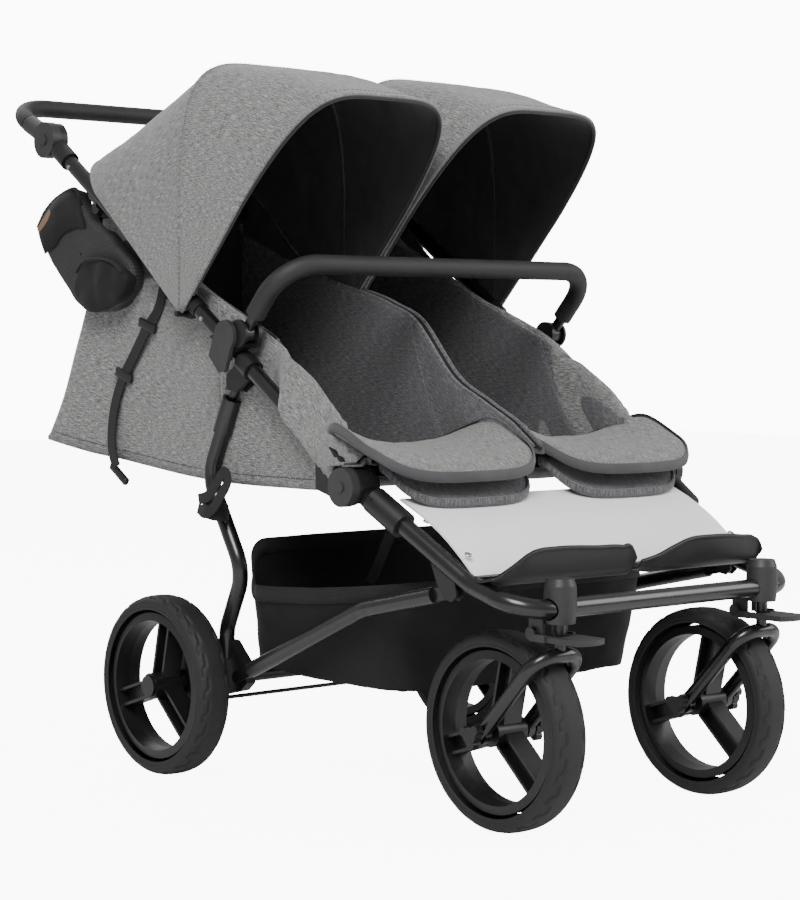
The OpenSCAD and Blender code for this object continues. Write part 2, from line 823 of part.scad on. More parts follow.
// Point of the hood at fan angle a and round position q, from -90 to 90, t inside it
function hood_pt(a, q, t) =
    let (flat = 0.45, r = crown(a) - t,
         wide = 1.012 + 0.07 * max(0, fan_seam - a) / (fan_seam - fan_rear),
         x = (hood_half - t) * sign(sin(q)) * min(1, wide * pow(abs(sin(q)), flat)),
         s = 26 + (r - 26) * pow(max(cos(q), 0), flat))
    [-hood_mid - x, hood_yz[0] + s * cos(a), hood_yz[1] + s * sin(a)];

// Fabric between two fan angles
module hood_skin(a0, a1, steps, t0, t1) {
    fans = [for (i = [0 : steps]) a0 + (a1 - a0) * i / steps];
    rounds = [for (q = [-90 : 9 : 90]) q];
    skin([for (a = fans) [for (q = rounds) hood_pt(a, q, t0)]],
         [for (a = fans) [for (q = rounds) hood_pt(a, q, t1)]]);
}

module hood_rear() { color(grey) hood_skin(fan_rear, fan_seam - 0.3, 5, 0, 2.2); }
module hood_front() { color(grey) hood_skin(fan_seam, fan_front, 5, 0, 2.2); }

wire = 5;
hoop_x = hood_outer_x + wire / 2 + 0.4;

// Point of the front hoop's plane, s from the hood's pivot
function hoop_pt(x, s) =
    [x, hood_yz[0] + s * cos(fan_front + 1.2), hood_yz[1] + s * sin(fan_front + 1.2)];

// Wire hoop along the hood's front edge, with an eye on the hood's pin
module hood_hoop() {
    x1 = -hood_inner_x - wire;
    color(black) difference() {
        union() {
            disc(hood_yz, -hoop_x - wire / 2, -hoop_x + wire / 2, 18);
            pipe([hoop_pt(-hoop_x, 6), hoop_pt(-hoop_x, hood_r_front),
                  hoop_pt(x1, hood_r_front), hoop_pt(x1, 150)], [130, 100], wire);
        }
        disc(hood_yz, -hoop_x - wire, -hoop_x + wire, 8 + 2 * fit);
    }
}

// Organiser bag -----------------------------------------------------------------------

// Open bag hung behind the seats
module organiser_bag() {
    bag_x = seat_outer_x + 2;
    color(black) difference() {
        union() {
            plate([[358, 784], [358, 668], [385, 655], [415, 666], [474, 730], [514, 788]],
                  -bag_x, bag_x);
            pair() plate(pouch_outline, -pouch_x, 0.1 - bag_x);
        }
        plate([[358 + cloth, 800], [358 + cloth, 669], [386, 658], [413, 668], [471, 732],
               [518, 804]], cloth - bag_x, bag_x - cloth);
        pair() plate([[244, 760], [244, 701], [265, 671], [301, 659], [355, 655], [403, 667],
                      [471, 732], [518, 804], [400, 880]], cloth - pouch_x, -bag_x - cloth);
    }
}

pouch_x = 289;
pouch_outline = [[241, 722], [241, 700], [262, 668], [300, 656], [355, 652], [405, 664],
    [474, 730], [514, 788], [500, 806], [400, 846], [382, 834], [372, 800], [345, 784],
    [300, 770]];

// Assembly -----------------------------------------------------------------------------

module on_left() { mirror([1, 0, 0]) children(); }

main_tube();  // main_tube_right
on_left() main_tube();  // main_tube_left
rear_cross_tube();
seat_cross_tube();
hinge_housings();
hinge_caps();
bar_hubs();
leg_brackets();
adjuster_sockets();
hood_clips();
seat_shell();  // seat_shell_right
on_left() seat_shell();  // seat_shell_left
seat_pad();  // seat_pad_right
on_left() seat_pad();  // seat_pad_left
calf_pad();  // calf_pad_right
on_left() calf_pad();  // calf_pad_left
hood_rear();  // hood_rear_right
on_left() hood_rear();  // hood_rear_left
organiser_bag();
frame_rivets();
handle_tube();
handle_grip();
adjuster_discs();
bumper_bar();
bumper_grip();
fold_lever();  // fold_lever_right
on_left() fold_lever();  // fold_lever_left
hood_front();  // hood_front_right
on_left() hood_front();  // hood_front_left
hood_hoop();  // hood_hoop_right
on_left() hood_hoop();  // hood_hoop_left
seat_back();  // seat_back_right
on_left() seat_back();  // seat_back_left
front_tube();
hinge_sleeves();
rail_brackets();
footplate();
footrest();  // footrest_right
on_left() footrest();  // footrest_left
caster_housings();
fork(-1);  // fork_right
fork(1);  // fork_left
swivel_lever(-1);  // swivel_lever_right
swivel_lever(1);  // swivel_lever_left
front_axle(-1);  // front_axle_right
front_axle(1);  // front_axle_left
tyre(-caster_x, front_axle_y);  // front_tyre_right
tyre(caster_x, front_axle_y);  // front_tyre_left
rim(-caster_x, front_axle_y, 0);  // front_rim_right
rim(caster_x, front_axle_y, 0);  // front_rim_left
side_rails();
basket();
rear_legs();
rear_axle();
axle_brackets();
brake_bar();
tyre(-rear_wheel_x, rear_axle_y);  // rear_tyre_right
tyre(rear_wheel_x, rear_axle_y);  // rear_tyre_left
rim(-rear_wheel_x, rear_axle_y, -1);  // rear_rim_right
rim(rear_wheel_x, rear_axle_y, 1);  // rear_rim_left
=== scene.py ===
"""Looks of the side-by-side twin stroller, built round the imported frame. Metres; lengths in the
helpers are millimetres. -Y is the direction of travel and -X the passengers' right."""

import json
import math

import bpy
import numpy as np
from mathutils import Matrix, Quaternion, Vector, noise


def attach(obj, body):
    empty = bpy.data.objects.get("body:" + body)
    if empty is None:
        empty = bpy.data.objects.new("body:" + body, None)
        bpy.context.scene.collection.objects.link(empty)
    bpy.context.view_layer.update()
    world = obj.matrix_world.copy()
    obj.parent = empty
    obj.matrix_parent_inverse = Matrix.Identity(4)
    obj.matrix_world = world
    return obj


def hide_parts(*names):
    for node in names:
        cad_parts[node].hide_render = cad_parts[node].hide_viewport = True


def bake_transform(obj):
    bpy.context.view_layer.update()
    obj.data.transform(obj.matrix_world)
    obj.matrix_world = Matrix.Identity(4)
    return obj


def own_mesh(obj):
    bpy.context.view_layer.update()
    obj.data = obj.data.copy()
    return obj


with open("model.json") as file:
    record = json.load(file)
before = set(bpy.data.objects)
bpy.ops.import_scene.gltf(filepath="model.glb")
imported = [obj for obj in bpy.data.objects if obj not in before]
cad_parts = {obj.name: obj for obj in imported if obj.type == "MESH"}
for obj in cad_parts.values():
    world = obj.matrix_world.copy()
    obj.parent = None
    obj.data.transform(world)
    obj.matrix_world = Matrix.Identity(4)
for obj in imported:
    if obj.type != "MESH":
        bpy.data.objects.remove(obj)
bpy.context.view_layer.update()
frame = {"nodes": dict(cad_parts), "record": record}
MM = 0.001


# Materials -----------------------------------------------------------------------------------

def nodes_of(name):
    m = bpy.data.materials.new(name)
    m.use_nodes = True
    t = m.node_tree
    bsdf = next(n for n in t.nodes if n.type == "BSDF_PRINCIPLED")
    return m, t, bsdf


def link(t, a, out, b, into):
    t.links.new(a.outputs[out], b.inputs[into])


def noise_node(t, coords, scale, detail=3.0, stretch=(1, 1, 1)):
    mapping = t.nodes.new("ShaderNodeMapping")
    mapping.inputs["Scale"].default_value = stretch
    tex = t.nodes.new("ShaderNodeTexNoise")
    tex.inputs["Scale"].default_value = scale
    tex.inputs["Detail"].default_value = detail
    t.links.new(coords, mapping.inputs["Vector"])
    link(t, mapping, "Vector", tex, "Vector")
    return tex


def ramp_node(t, source, stops):
    ramp = t.nodes.new("ShaderNodeValToRGB")
    ramp.color_ramp.elements[0].position = stops[0][0]
    ramp.color_ramp.elements[0].color = (*stops[0][1], 1)
    ramp.color_ramp.elements[1].position = stops[-1][0]
    ramp.color_ramp.elements[1].color = (*stops[-1][1], 1)
    for at, colour in stops[1:-1]:
        e = ramp.color_ramp.elements.new(at)
        e.color = (*colour, 1)
    t.links.new(source, ramp.inputs["Fac"])
    return ramp


def bump_node(t, source, bsdf, distance, strength=0.5):
    bump = t.nodes.new("ShaderNodeBump")
    bump.inputs["Distance"].default_value = distance
    bump.inputs["Strength"].default_value = strength
    t.links.new(source, bump.inputs["Height"])
    link(t, bump, "Normal", bsdf, "Normal")
    return bump


def hard(name, colour, rough, vary=0.06, grain=900.0, depth=0.00008, metal=0.0, coat=0.0,
         tint=0.25):
    """Paint, moulding, rubber or metal with a fine grain and faint uneven wear."""
    m, t, b = nodes_of(name)
    coords = t.nodes.new("ShaderNodeTexCoord").outputs["Object"]
    big = noise_node(t, coords, 14.0, 4.0)
    dark = tuple(c * (1 - tint) for c in colour)
    light = tuple(min(1, c * (1 + tint)) for c in colour)
    ramp = ramp_node(t, big.outputs["Fac"], [(0.3, dark), (0.7, light)])
    link(t, ramp, "Color", b, "Base Color")
    spread = t.nodes.new("ShaderNodeMapRange")
    spread.inputs["To Min"].default_value = max(0, rough - vary)
    spread.inputs["To Max"].default_value = min(1, rough + vary)
    link(t, big, "Fac", spread, "Value")
    link(t, spread, "Result", b, "Roughness")
    fine = noise_node(t, coords, grain, 2.0)
    bump_node(t, fine.outputs["Fac"], b, depth)
    b.inputs["Metallic"].default_value = metal
    b.inputs["Coat Weight"].default_value = coat
    b.inputs["Coat Roughness"].default_value = 0.25
    return m


def heather(name, dark, mid, light):
    """Heather cloth: streaks along u, over a fine weave."""
    m, t, b = nodes_of(name)
    uv = t.nodes.new("ShaderNodeUVMap").outputs["UV"]
    streak = noise_node(t, uv, 1.0, 4.0, (1000, 80, 1))
    fleck = noise_node(t, uv, 1.0, 2.0, (2200, 300, 1))
    mix = t.nodes.new("ShaderNodeMath")
    mix.operation = "ADD"
    half = t.nodes.new("ShaderNodeMath")
    half.operation = "MULTIPLY"
    half.inputs[1].default_value = 0.5
    link(t, streak, "Fac", mix, 0)
    link(t, fleck, "Fac", mix, 1)
    link(t, mix, "Value", half, 0)
    ramp = ramp_node(t, half.outputs["Value"], [(0.41, dark), (0.5, mid), (0.6, light)])
    link(t, ramp, "Color", b, "Base Color")
    b.inputs["Roughness"].default_value = 0.9
    b.inputs["Sheen Weight"].default_value = 0.25
    bump_node(t, half.outputs["Value"], b, 0.0006, 0.6)
    return m


def woven(name, colour, rough=0.75, sheen=0.15, cell=1.1, depth=0.0003):
    """Plain woven nylon with warp and weft."""
    m, t, b = nodes_of(name)
    uv = t.nodes.new("ShaderNodeUVMap").outputs["UV"]
    add = t.nodes.new("ShaderNodeMath")
    add.operation = "ADD"
    for i, axis in enumerate(("X", "Y")):
        wave = t.nodes.new("ShaderNodeTexWave")
        wave.bands_direction = axis
        wave.inputs["Scale"].default_value = 314.0 / cell
        wave.inputs["Distortion"].default_value = 0.6
        t.links.new(uv, wave.inputs["Vector"])
        link(t, wave, "Fac", add, i)
    big = noise_node(t, uv, 18.0, 3.0)
    dark = tuple(c * 0.7 for c in colour)
    ramp = ramp_node(t, big.outputs["Fac"], [(0.3, dark), (0.7, colour)])
    link(t, ramp, "Color", b, "Base Color")
    b.inputs["Roughness"].default_value = rough
    b.inputs["Sheen Weight"].default_value = sheen
    b.inputs["Specular IOR Level"].default_value = 0.25
    bump_node(t, add.outputs["Value"], b, depth, 0.4)
    return m


def open_mesh(name, colour):
    """Knitted mesh: small dark holes in rows."""
    m, t, b = nodes_of(name)
    uv = t.nodes.new("ShaderNodeUVMap").outputs["UV"]
    cells = t.nodes.new("ShaderNodeTexVoronoi")
    cells.inputs["Scale"].default_value = 260.0
    cells.inputs["Randomness"].default_value = 0.25
    t.links.new(uv, cells.inputs["Vector"])
    ramp = ramp_node(t, cells.outputs["Distance"],
                     [(0.22, (0.004, 0.004, 0.004)), (0.5, colour)])
    link(t, ramp, "Color", b, "Base Color")
    b.inputs["Roughness"].default_value = 0.7
    bump_node(t, cells.outputs["Distance"], b, 0.0008, 0.8)
    return m


MAT = {
    "black_tube": hard("satin_black_paint", (0.005, 0.005, 0.0055), 0.28, coat=0.3),
    "black_moulding": hard("black_nylon", (0.007, 0.007, 0.0075), 0.42, grain=1500, depth=0.0002),
    "grey_moulding": hard("charcoal_nylon", (0.026, 0.026, 0.028), 0.46, grain=1500, depth=0.0002),
    "rim": hard("rim_nylon", (0.007, 0.007, 0.0075), 0.38, grain=1200, depth=0.00015),
    "tyre": hard("tyre_rubber", (0.011, 0.011, 0.0115), 0.68, grain=700, depth=0.0003),
    "grip": hard("grip_foam", (0.014, 0.014, 0.0145), 0.62, grain=800, depth=0.0006),
    "white_panel": hard("white_panel", (0.96, 0.96, 0.96), 0.3, 0.03, tint=0.02, coat=0.3),
    "red_pedal": hard("red_moulding", (0.42, 0.012, 0.02), 0.45),
    "steel": hard("bright_steel", (0.62, 0.62, 0.62), 0.28, metal=1.0),
    "grey_cloth": heather("heather_cloth", (0.052, 0.052, 0.053), (0.15, 0.149, 0.147),
                          (0.35, 0.347, 0.338)),
    # Seat heather darkened as painted shade, for the inside walls, the gap between the seats and
    # the calf pads
    "heather_painted_shade": heather("heather_inner_painted_shade", (0.028, 0.028, 0.031), (0.075, 0.075, 0.081),
                            (0.17, 0.17, 0.175)),
    "binding": woven("grey_binding", (0.075, 0.075, 0.079), 0.8, 0.2, 0.9),
    "black_cloth": woven("black_nylon_cloth", (0.007, 0.007, 0.0075), 0.7, 0.04),
    "lining": woven("black_lining", (0.014, 0.014, 0.0145), 0.6, 0.3),
    "webbing": woven("black_webbing", (0.011, 0.011, 0.0115), 0.7, 0.08, 2.2, 0.0006),
    "mesh": open_mesh("black_mesh", (0.03, 0.03, 0.032)),
    "stitch": hard("stitch_thread", (0.07, 0.07, 0.072), 0.8),
    "black_stitch": hard("black_thread", (0.02, 0.02, 0.02), 0.8),
    "label": woven("tan_label", (0.22, 0.13, 0.075), 0.8),
}


# Geometry helpers ----------------------------------------------------------------------------

def catmull(points, n):
    """Smooth line through points, n steps a span."""
    p = np.array(points, float)
    p = np.vstack([2 * p[0] - p[1], p, 2 * p[-1] - p[-2]])
    out = []
    for i in range(1, len(p) - 2):
        for k in range(n):
            t = k / n
            out.append(0.5 * (2 * p[i] + (p[i + 1] - p[i - 1]) * t
                              + (2 * p[i - 1] - 5 * p[i] + 4 * p[i + 1] - p[i + 2]) * t * t
                              + (3 * p[i] - p[i - 1] - 3 * p[i + 1] + p[i + 2]) * t ** 3))
    out.append(p[-2])
    return np.array(out)


def resample(line, n):
    line = np.array(line, float)
    d = np.r_[0, np.cumsum(np.linalg.norm(np.diff(line, axis=0), axis=1))]
    s = np.linspace(0, d[-1], n)
    return np.stack([np.interp(s, d, line[:, k]) for k in range(line.shape[1])], 1)


def smooth_line(points, n, steps=8):
    return resample(catmull(points, steps), n)


def knots(pairs):
    """Smooth function through (x, y) pairs."""
    xs = np.array([p[0] for p in pairs], float)
    ys = np.array([p[1] for p in pairs], float)
    slope = np.gradient(ys, xs)

    def f(x):
        x = np.clip(x, xs[0], xs[-1])
        i = np.clip(np.searchsorted(xs, x) - 1, 0, len(xs) - 2)
        h = xs[i + 1] - xs[i]
        t = (x - xs[i]) / h
        return ((2 * t ** 3 - 3 * t * t + 1) * ys[i] + (t ** 3 - 2 * t * t + t) * h * slope[i]
                + (3 * t * t - 2 * t ** 3) * ys[i + 1] + (t ** 3 - t * t) * h * slope[i + 1])
    return f


def fade(x, a, b):
    t = np.clip((x - a) / (b - a), 0, 1)
    return t * t * (3 - 2 * t)


def finish(o, material, body, cad=(), smooth=True):
    names = [material] if isinstance(material, str) else list(material)
    for n in names:
        o.data.materials.append(MAT[n])
    for p in o.data.polygons:
        p.use_smooth = smooth
    if body:
        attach(o, body)
    if cad:
        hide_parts(*cad)
    return o


def mesh(name, verts, faces, uvs=None):
    me = bpy.data.meshes.new(name)
    me.from_pydata([tuple(float(c) * MM for c in v) for v in verts], [], faces)
    if uvs is not None:
        layer = me.uv_layers.new(name="UVMap")
        at = np.empty(len(me.loops), int)
        me.loops.foreach_get("vertex_index", at)
        layer.data.foreach_set("uv", (np.array(uvs, float)[at] * MM).ravel())
    me.validate()
    o = bpy.data.objects.new(name, me)
    bpy.context.scene.collection.objects.link(o)
    return o


def apply(o):
    graph = bpy.context.evaluated_depsgraph_get()
    new = bpy.data.meshes.new_from_object(o.evaluated_get(graph))
    o.modifiers.clear()
    o.data = new
    return o


def normals(P):
    di = np.gradient(P, axis=0)
    dj = np.gradient(P, axis=1)
    n = np.cross(di, dj)
    return n / np.maximum(np.linalg.norm(n, axis=2, keepdims=True), 1e-9)


def ruffle(P, amount, size, seed=0.0, mask=None):
    """Moves a grid of points in and out along its normals by soft noise."""
    N = normals(P)
    d = np.empty(P.shape[:2])
    for i in range(P.shape[0]):
        for j in range(P.shape[1]):
            d[i, j] = noise.noise(Vector(P[i, j] / size) + Vector((seed, seed * 2, 0)))
    if mask is not None:
        d = d * mask
    return P + N * (d * amount)[..., None]


def grid(name, P, material, body, thick=0.0, closed=False, cad=(), flip=False):
    """Surface through P[i][j], with its cloth coordinates in real lengths, and a thickness."""
    P = np.array(P, float)
    m, n = P.shape[:2]
    du = np.r_[0, np.cumsum(np.linalg.norm(np.diff(P, axis=1), axis=2).mean(0))]
    dv = np.r_[0, np.cumsum(np.linalg.norm(np.diff(P, axis=0), axis=2).mean(1))]
    uv = [(du[j], dv[i]) for i in range(m) for j in range(n)]
    faces = []
    for i in range(m - 1):
        for j in range(n if closed else n - 1):
            k = (j + 1) % n
            f = [i * n + j, i * n + k, (i + 1) * n + k, (i + 1) * n + j]
            faces.append(f[::-1] if flip else f)
    o = mesh(name, P.reshape(-1, 3), faces, uv)
    if thick:
        s = o.modifiers.new("t", "SOLIDIFY")
        s.thickness = thick * MM
        s.offset = -1
        if not isinstance(material, str) and len(material) > 1:
            s.material_offset = 1
            s.material_offset_rim = 0
            for nm in material:
                o.data.materials.append(MAT[nm])
    part = None
    if thick:
        apply(o)
        part = np.empty(len(o.data.polygons), int)
        o.data.polygons.foreach_get("material_index", part)
        o.data.materials.clear()
    o = finish(o, material, body, cad)
    if part is not None:
        o.data.polygons.foreach_set("material_index", part)
    return o


def sweep(name, line, outline, material, body, up=None, cad=(), smooth=True, cap=True):
    """Carries an outline of (across, up) points along a line; up is the outline's up."""
    line = np.array(line, float)
    tangent = np.gradient(line, axis=0)
    tangent /= np.linalg.norm(tangent, axis=1, keepdims=True)
    verts, uvs = [], []
    run = np.r_[0, np.cumsum(np.linalg.norm(np.diff(line, axis=0), axis=1))]
    around = np.r_[0, np.cumsum(np.linalg.norm(np.diff(np.array(outline, float), axis=0),
                                               axis=1))]
    last = np.array((0.13, 0.21, 0.97) if up is None or callable(up) else up, float)
    n = len(outline)
    for i, (p, t) in enumerate(zip(line, tangent)):
        ref = np.array(up(i / (len(line) - 1)), float) if callable(up) else last
        side = np.cross(t, ref)
        side /= np.linalg.norm(side)
        top = np.cross(side, t)
        if not callable(up) and up is None:
            last = top
        for j, (a, b) in enumerate(outline):
            verts.append(p + side * a + top * b)
            uvs.append((run[i], around[j]))
    faces = [[i * n + j, (i + 1) * n + j, (i + 1) * n + (j + 1) % n, i * n + (j + 1) % n]
             for i in range(len(line) - 1) for j in range(n)]
    if cap:
        faces += [list(range(n)), [(len(line) - 1) * n + j for j in range(n)][::-1]]
    return finish(mesh(name, verts, faces, uvs), material, body, cad, smooth)


def ring(r, n=12):
    return [(r * math.cos(2 * math.pi * k / n), r * math.sin(2 * math.pi * k / n))
            for k in range(n)]


def flat(width, thick):
    w, t = width / 2, thick / 2
    return [(-w, -t), (0, -t * 1.1), (w, -t), (w, t), (0, t * 1.1), (-w, t)]


def wire(name, points, r, material, body):
    return sweep(name, smooth_line(points, 8 * len(points)), ring(r, 10), material, body)


def box_piece(name, centre, size, material, body, turn=None, bevel=1.0):
    """Block with softened edges; turn is (axis, degrees)."""
    v = np.array([[x, y, z] for x in (-.5, .5) for y in (-.5, .5) for z in (-.5, .5)]) * size
    f = [[0, 1, 3, 2], [4, 6, 7, 5], [0, 4, 5, 1], [2, 3, 7, 6], [0, 2, 6, 4], [1, 5, 7, 3]]
    if turn:
        q = Quaternion(turn[0], math.radians(turn[1]))
        v = np.array([q @ Vector(p) for p in v])
    o = mesh(name, v + np.array(centre), f, [(a[0] + a[2], a[1]) for a in v])
    b = o.modifiers.new("b", "BEVEL")
    b.width = bevel * MM
    b.segments = 3
    return finish(apply(o), material, body)


def button(name, centre, axis, r, high, material, body):
    """Round head on a face: centre on the face, axis outwards."""
    dome, n = 0.5, 32
    z = Vector(axis).normalized()
    q = Vector((0, 0, 1)).rotation_difference(z)
    rows = [(r, 0), (r, high * (1 - dome)), (r * 0.9, high * (1 - dome * 0.5)),
            (r * 0.6, high * (1 - dome * 0.12)), (r * 0.25, high), (0.02, high)]
    verts, uvs, faces = [], [], []
    for rr, h in rows:
        for k in range(n):
            a = 2 * math.pi * k / n
            verts.append(Vector(centre) + q @ Vector((rr * math.cos(a), rr * math.sin(a), h)))
            uvs.append((rr * math.cos(a), rr * math.sin(a)))
    for i in range(len(rows) - 1):
        for k in range(n):
            faces.append([i * n + k, i * n + (k + 1) % n, (i + 1) * n + (k + 1) % n,
                          (i + 1) * n + k])
    return finish(mesh(name, verts, faces, uvs), material, body)


def stitches(name, line, normal, material, body, pitch=7.0, dash=4.2, r=0.45, blend=None):
    """Row of short raised threads along a line."""
    line = np.array(line, float)
    d = np.r_[0, np.cumsum(np.linalg.norm(np.diff(line, axis=0), axis=1))]
    at = lambda s: np.array([np.interp(s, d, line[:, k]) for k in range(3)])
    nat = (lambda s: np.array([np.interp(s, d, normal[:, k]) for k in range(3)])) \
        if np.ndim(normal) == 2 else (lambda s: np.array(normal, float))
    verts, faces, uvs = [], [], []
    s = pitch / 2
    while s < d[-1] - pitch / 2:
        a, b = at(s - dash / 2), at(s + dash / 2)
        u = nat(s)
        u = u / np.linalg.norm(u)
        t = (b - a) / max(np.linalg.norm(b - a), 1e-9)
        w = np.cross(t, u)
        k = len(verts)
        mid = (a + b) / 2
        for c, q in ((a, 0.3), (mid, 1.0), (b, 0.3)):
            verts += [c + w * r, c + u * r * 1.6 * q, c - w * r]
            uvs += [(0, 0), (1, 0), (1, 1)]
        for i in (0, 3):
            faces += [[k + i, k + i + 3, k + i + 4, k + i + 1],
                      [k + i + 1, k + i + 4, k + i + 5, k + i + 2]]
        faces += [[k, k + 1, k + 2], [k + 8, k + 7, k + 6]]
        s += pitch
    o = finish(mesh(name, verts, faces, uvs), material, None if blend else body)
    if blend:
        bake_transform(o)
    return o


# Frame nodes keep their shape and take their slots' finishes ------------------------------------

for sub in frame["record"]["subparts"]:
    o = frame["nodes"].get(sub["node"])
    if o is None:
        continue
    o.data.materials.clear()
    o.data.materials.append(MAT[sub["material_slot"]])

# Only the pedals of the brake bar are red
PEDAL_TOP = 0.0755
bar = frame["nodes"]["brake_bar"]
bar.data.materials.append(MAT["black_tube"])
for face in bar.data.polygons:
    if (bar.matrix_world @ face.center).z > PEDAL_TOP:
        face.material_index = 1

# Main tube: side offset, and the straight line from the fold hinge to the handle pivot
MAIN_X = 284.0
FOLD_Y, FOLD_Z = -257, 428
HANDLE_Y, HANDLE_Z = 454, 911


def main_z(y):
    return FOLD_Z + (y - FOLD_Y) * (HANDLE_Z - FOLD_Z) / (HANDLE_Y - FOLD_Y)


# Hoods ------------------------------------------------------------------------------------------

HOOD = np.array([104.0, 650.0])
REAR, SEAM, FRONT = 40.0, 90.0, 133.0
R_REAR, R_SEAM, R_FRONT = 367.0, 352.0, 396.0
HOOD_X0, HOOD_X1 = 3.0, 299.0
HOOD_MID, HOOD_HALF = (HOOD_X0 + HOOD_X1) / 2, (HOOD_X1 - HOOD_X0) / 2


def chord(a, r0, a0, r1, a1):
    """Radius at angle a of the straight line between two polar points."""
    sin = lambda v: math.sin(math.radians(v))
    return r0 * r1 * sin(a1 - a0) / (r0 * sin(a - a0) + r1 * sin(a1 - a))


def crown(a):
    if a < SEAM:
        t = np.clip((SEAM - a) / (SEAM - REAR), 0, 1)
        return chord(a, R_REAR, REAR, R_SEAM, SEAM) - 5 * math.sin(math.pi * t)
    t = np.clip((a - SEAM) / (FRONT - SEAM), 0, 1)
    return chord(a, R_SEAM, SEAM, R_FRONT, FRONT) + 9 * math.sin(math.pi * t)


def hood_point(side, a, q, inset=0.0, root=4.0):
    """Point of a hood at fan angle a and position q across, from -90 to 90 degrees."""
    r = float(crown(a)) - inset
    s, c = math.sin(math.radians(q)), max(0.0, math.cos(math.radians(q)))
    wide = 1.012 + 0.07 * max(0.0, SEAM - a) / (SEAM - REAR)
    x = (HOOD_HALF - inset) * math.copysign(min(1, wide * abs(s) ** 0.46), s)
    k = root + (r - root) * c ** 0.46
    ar = math.radians(a)
    return np.array([side * (HOOD_MID + x), HOOD[0] + k * math.cos(ar),
                     HOOD[1] + k * math.sin(ar)])


def across(n):
    """Positions across a hood that step evenly along its cloth."""
    q = np.linspace(-90, 90, 721)
    line = np.array([hood_point(1, 100, v) for v in q])
    d = np.r_[0, np.cumsum(np.linalg.norm(np.diff(line, axis=0), axis=1))]
    return np.interp(np.linspace(0, d[-1], n), d, q)


Q = across(97)


def hood_grid(side, a0, a1, steps, seed=0.0):
    A = np.linspace(a0, a1, steps)
    P = np.array([[hood_point(side, a, q) for q in Q] for a in A])
    edge = np.sin(np.pi * np.clip((A - a0) / (a1 - a0), 0, 1))[:, None] * np.ones(len(Q))
    P = ruffle(P, 3.0, 75.0, seed, edge)
    return ruffle(P, 1.0, 22.0, seed + 5, edge)


def hood_blend(side):
    body = "hood_right" if side < 0 else "hood_left"
    b = math.radians(12)
    n = np.array([-math.cos(b), -math.sin(b)])
    s, e = HOOD + n * (-350 * math.sin(b)), HOOD + n * 240
    return ("upper_frame", body, (0, s[0] * MM, s[1] * MM), (0, e[0] * MM, e[1] * MM))


def hood(side):
    tag = "right" if side < 0 else "left"
    body = "hood_" + tag
    flip = side > 0
    rear = grid(f"hood_rear_cloth_{tag}", hood_grid(side, REAR, SEAM, 34, seed=3 + side),
                ("grey_cloth", "lining"), "upper_frame", 2.0, cad=[f"hood_rear_{tag}"],
                flip=flip)
    front = grid(f"hood_front_cloth_{tag}", hood_grid(side, SEAM, FRONT, 34, seed=9 + side),
                 ("grey_cloth", "lining"), None, 2.0,
                 cad=[f"hood_front_{tag}"], flip=flip)
    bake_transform(front)
    # Wide flat seam over the middle hoop, with a row of stitches along each edge
    band = np.array([[hood_point(side, a, q, -h) for q in Q]
                     for a, h in ((88.2, 0.2), (88.5, 1.3), (89.4, 1.7), (90.3, 1.3),
                                  (90.5, 0.2))])
    grid(f"hood_seam_{tag}", band, "grey_cloth", "upper_frame", flip=flip)
    for k, a in enumerate((88.7, 90.1)):
        line = np.array([hood_point(side, a, q, -1.7) for q in Q])
        out = line - np.array([side * HOOD_MID, HOOD[0], HOOD[1]])
        stitches(f"hood_seam_stitch{k}_{tag}", line, out, "stitch", "upper_frame")
    # Front hem: a rolled rim with black piping under it
    rim_line = np.array([hood_point(side, FRONT, q, 1.0) for q in Q])
    sweep(f"hood_rim_{tag}", rim_line, ring(2.6, 10), "grey_cloth", body)
    pipe_line = np.array([hood_point(side, FRONT + 0.5, q, 4.2) for q in Q[3:-3]])
    sweep(f"hood_piping_{tag}", pipe_line, ring(2.4, 10), "lining", body,
          cad=[f"hood_hoop_{tag}"])
    hem = np.array([[hood_point(side, a, q, -h) for q in Q]
                    for a, h in ((129.6, 0.1), (130.0, 0.9), (132.2, 1.0), (133.0, 0.7))])
    hem_o = grid(f"hood_hem_{tag}", hem, "grey_cloth", None, flip=flip)
    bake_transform(hem_o)
    line = np.array([hood_point(side, 130.1, q, -1.1) for q in Q])
    out = line - np.array([side * HOOD_MID, HOOD[0], HOOD[1]])
    stitches(f"hood_hem_stitch_{tag}", line, out, "stitch", None, blend=hood_blend(side))
    # Rear edge binding
    rear_line = np.array([hood_point(side, REAR, q, 1.0) for q in Q])
    sweep(f"hood_rear_rim_{tag}", rear_line, ring(1.8, 8), "grey_cloth", "upper_frame")
    # Black curtain from the rear edge down to the seat's rear wall
    curtain = []
    for q in Q[8:-8]:
        top = hood_point(side, REAR + 1, q, 5)
        x = side * min(max(abs(top[0]), 9), 262)
        foot = np.array([x, 349, min(top[2] - 2, 786)])
        head = np.array([x, top[1], max(top[2], foot[2] + 1)])
        curtain.append([foot + (head - foot) * t for t in np.linspace(0, 1, 14)])
    grid(f"hood_curtain_{tag}", ruffle(np.array(curtain), 3, 50, 61 + side),
         ("lining", "lining"), "upper_frame", 1.0)


hood(-1)
hood(1)


# Seats ------------------------------------------------------------------------------------------

def press_in(o):
    """Gives a soft piece its own copy of its mesh."""
    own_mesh(o)


hem_z = knots([(-262, 446), (-235, 431), (-190, 422), (-60, 417), (120, 421), (300, 440),
               (462, 464)])
top_z = knots([(-300, 462), (-258, 473), (-235, 487), (-212, 508), (-188, 531), (-161, 555),
               (-100, 592), (-45, 622), (20, 650), (90, 680), (180, 725), (270, 765),
               (345, 792)])
inner_top = knots([(-300, 474), (-262, 500), (-200, 531), (-125, 573), (-100, 600), (-62, 640),
                   (0, 668), (120, 700), (345, 780)])


FLARE = 27.0


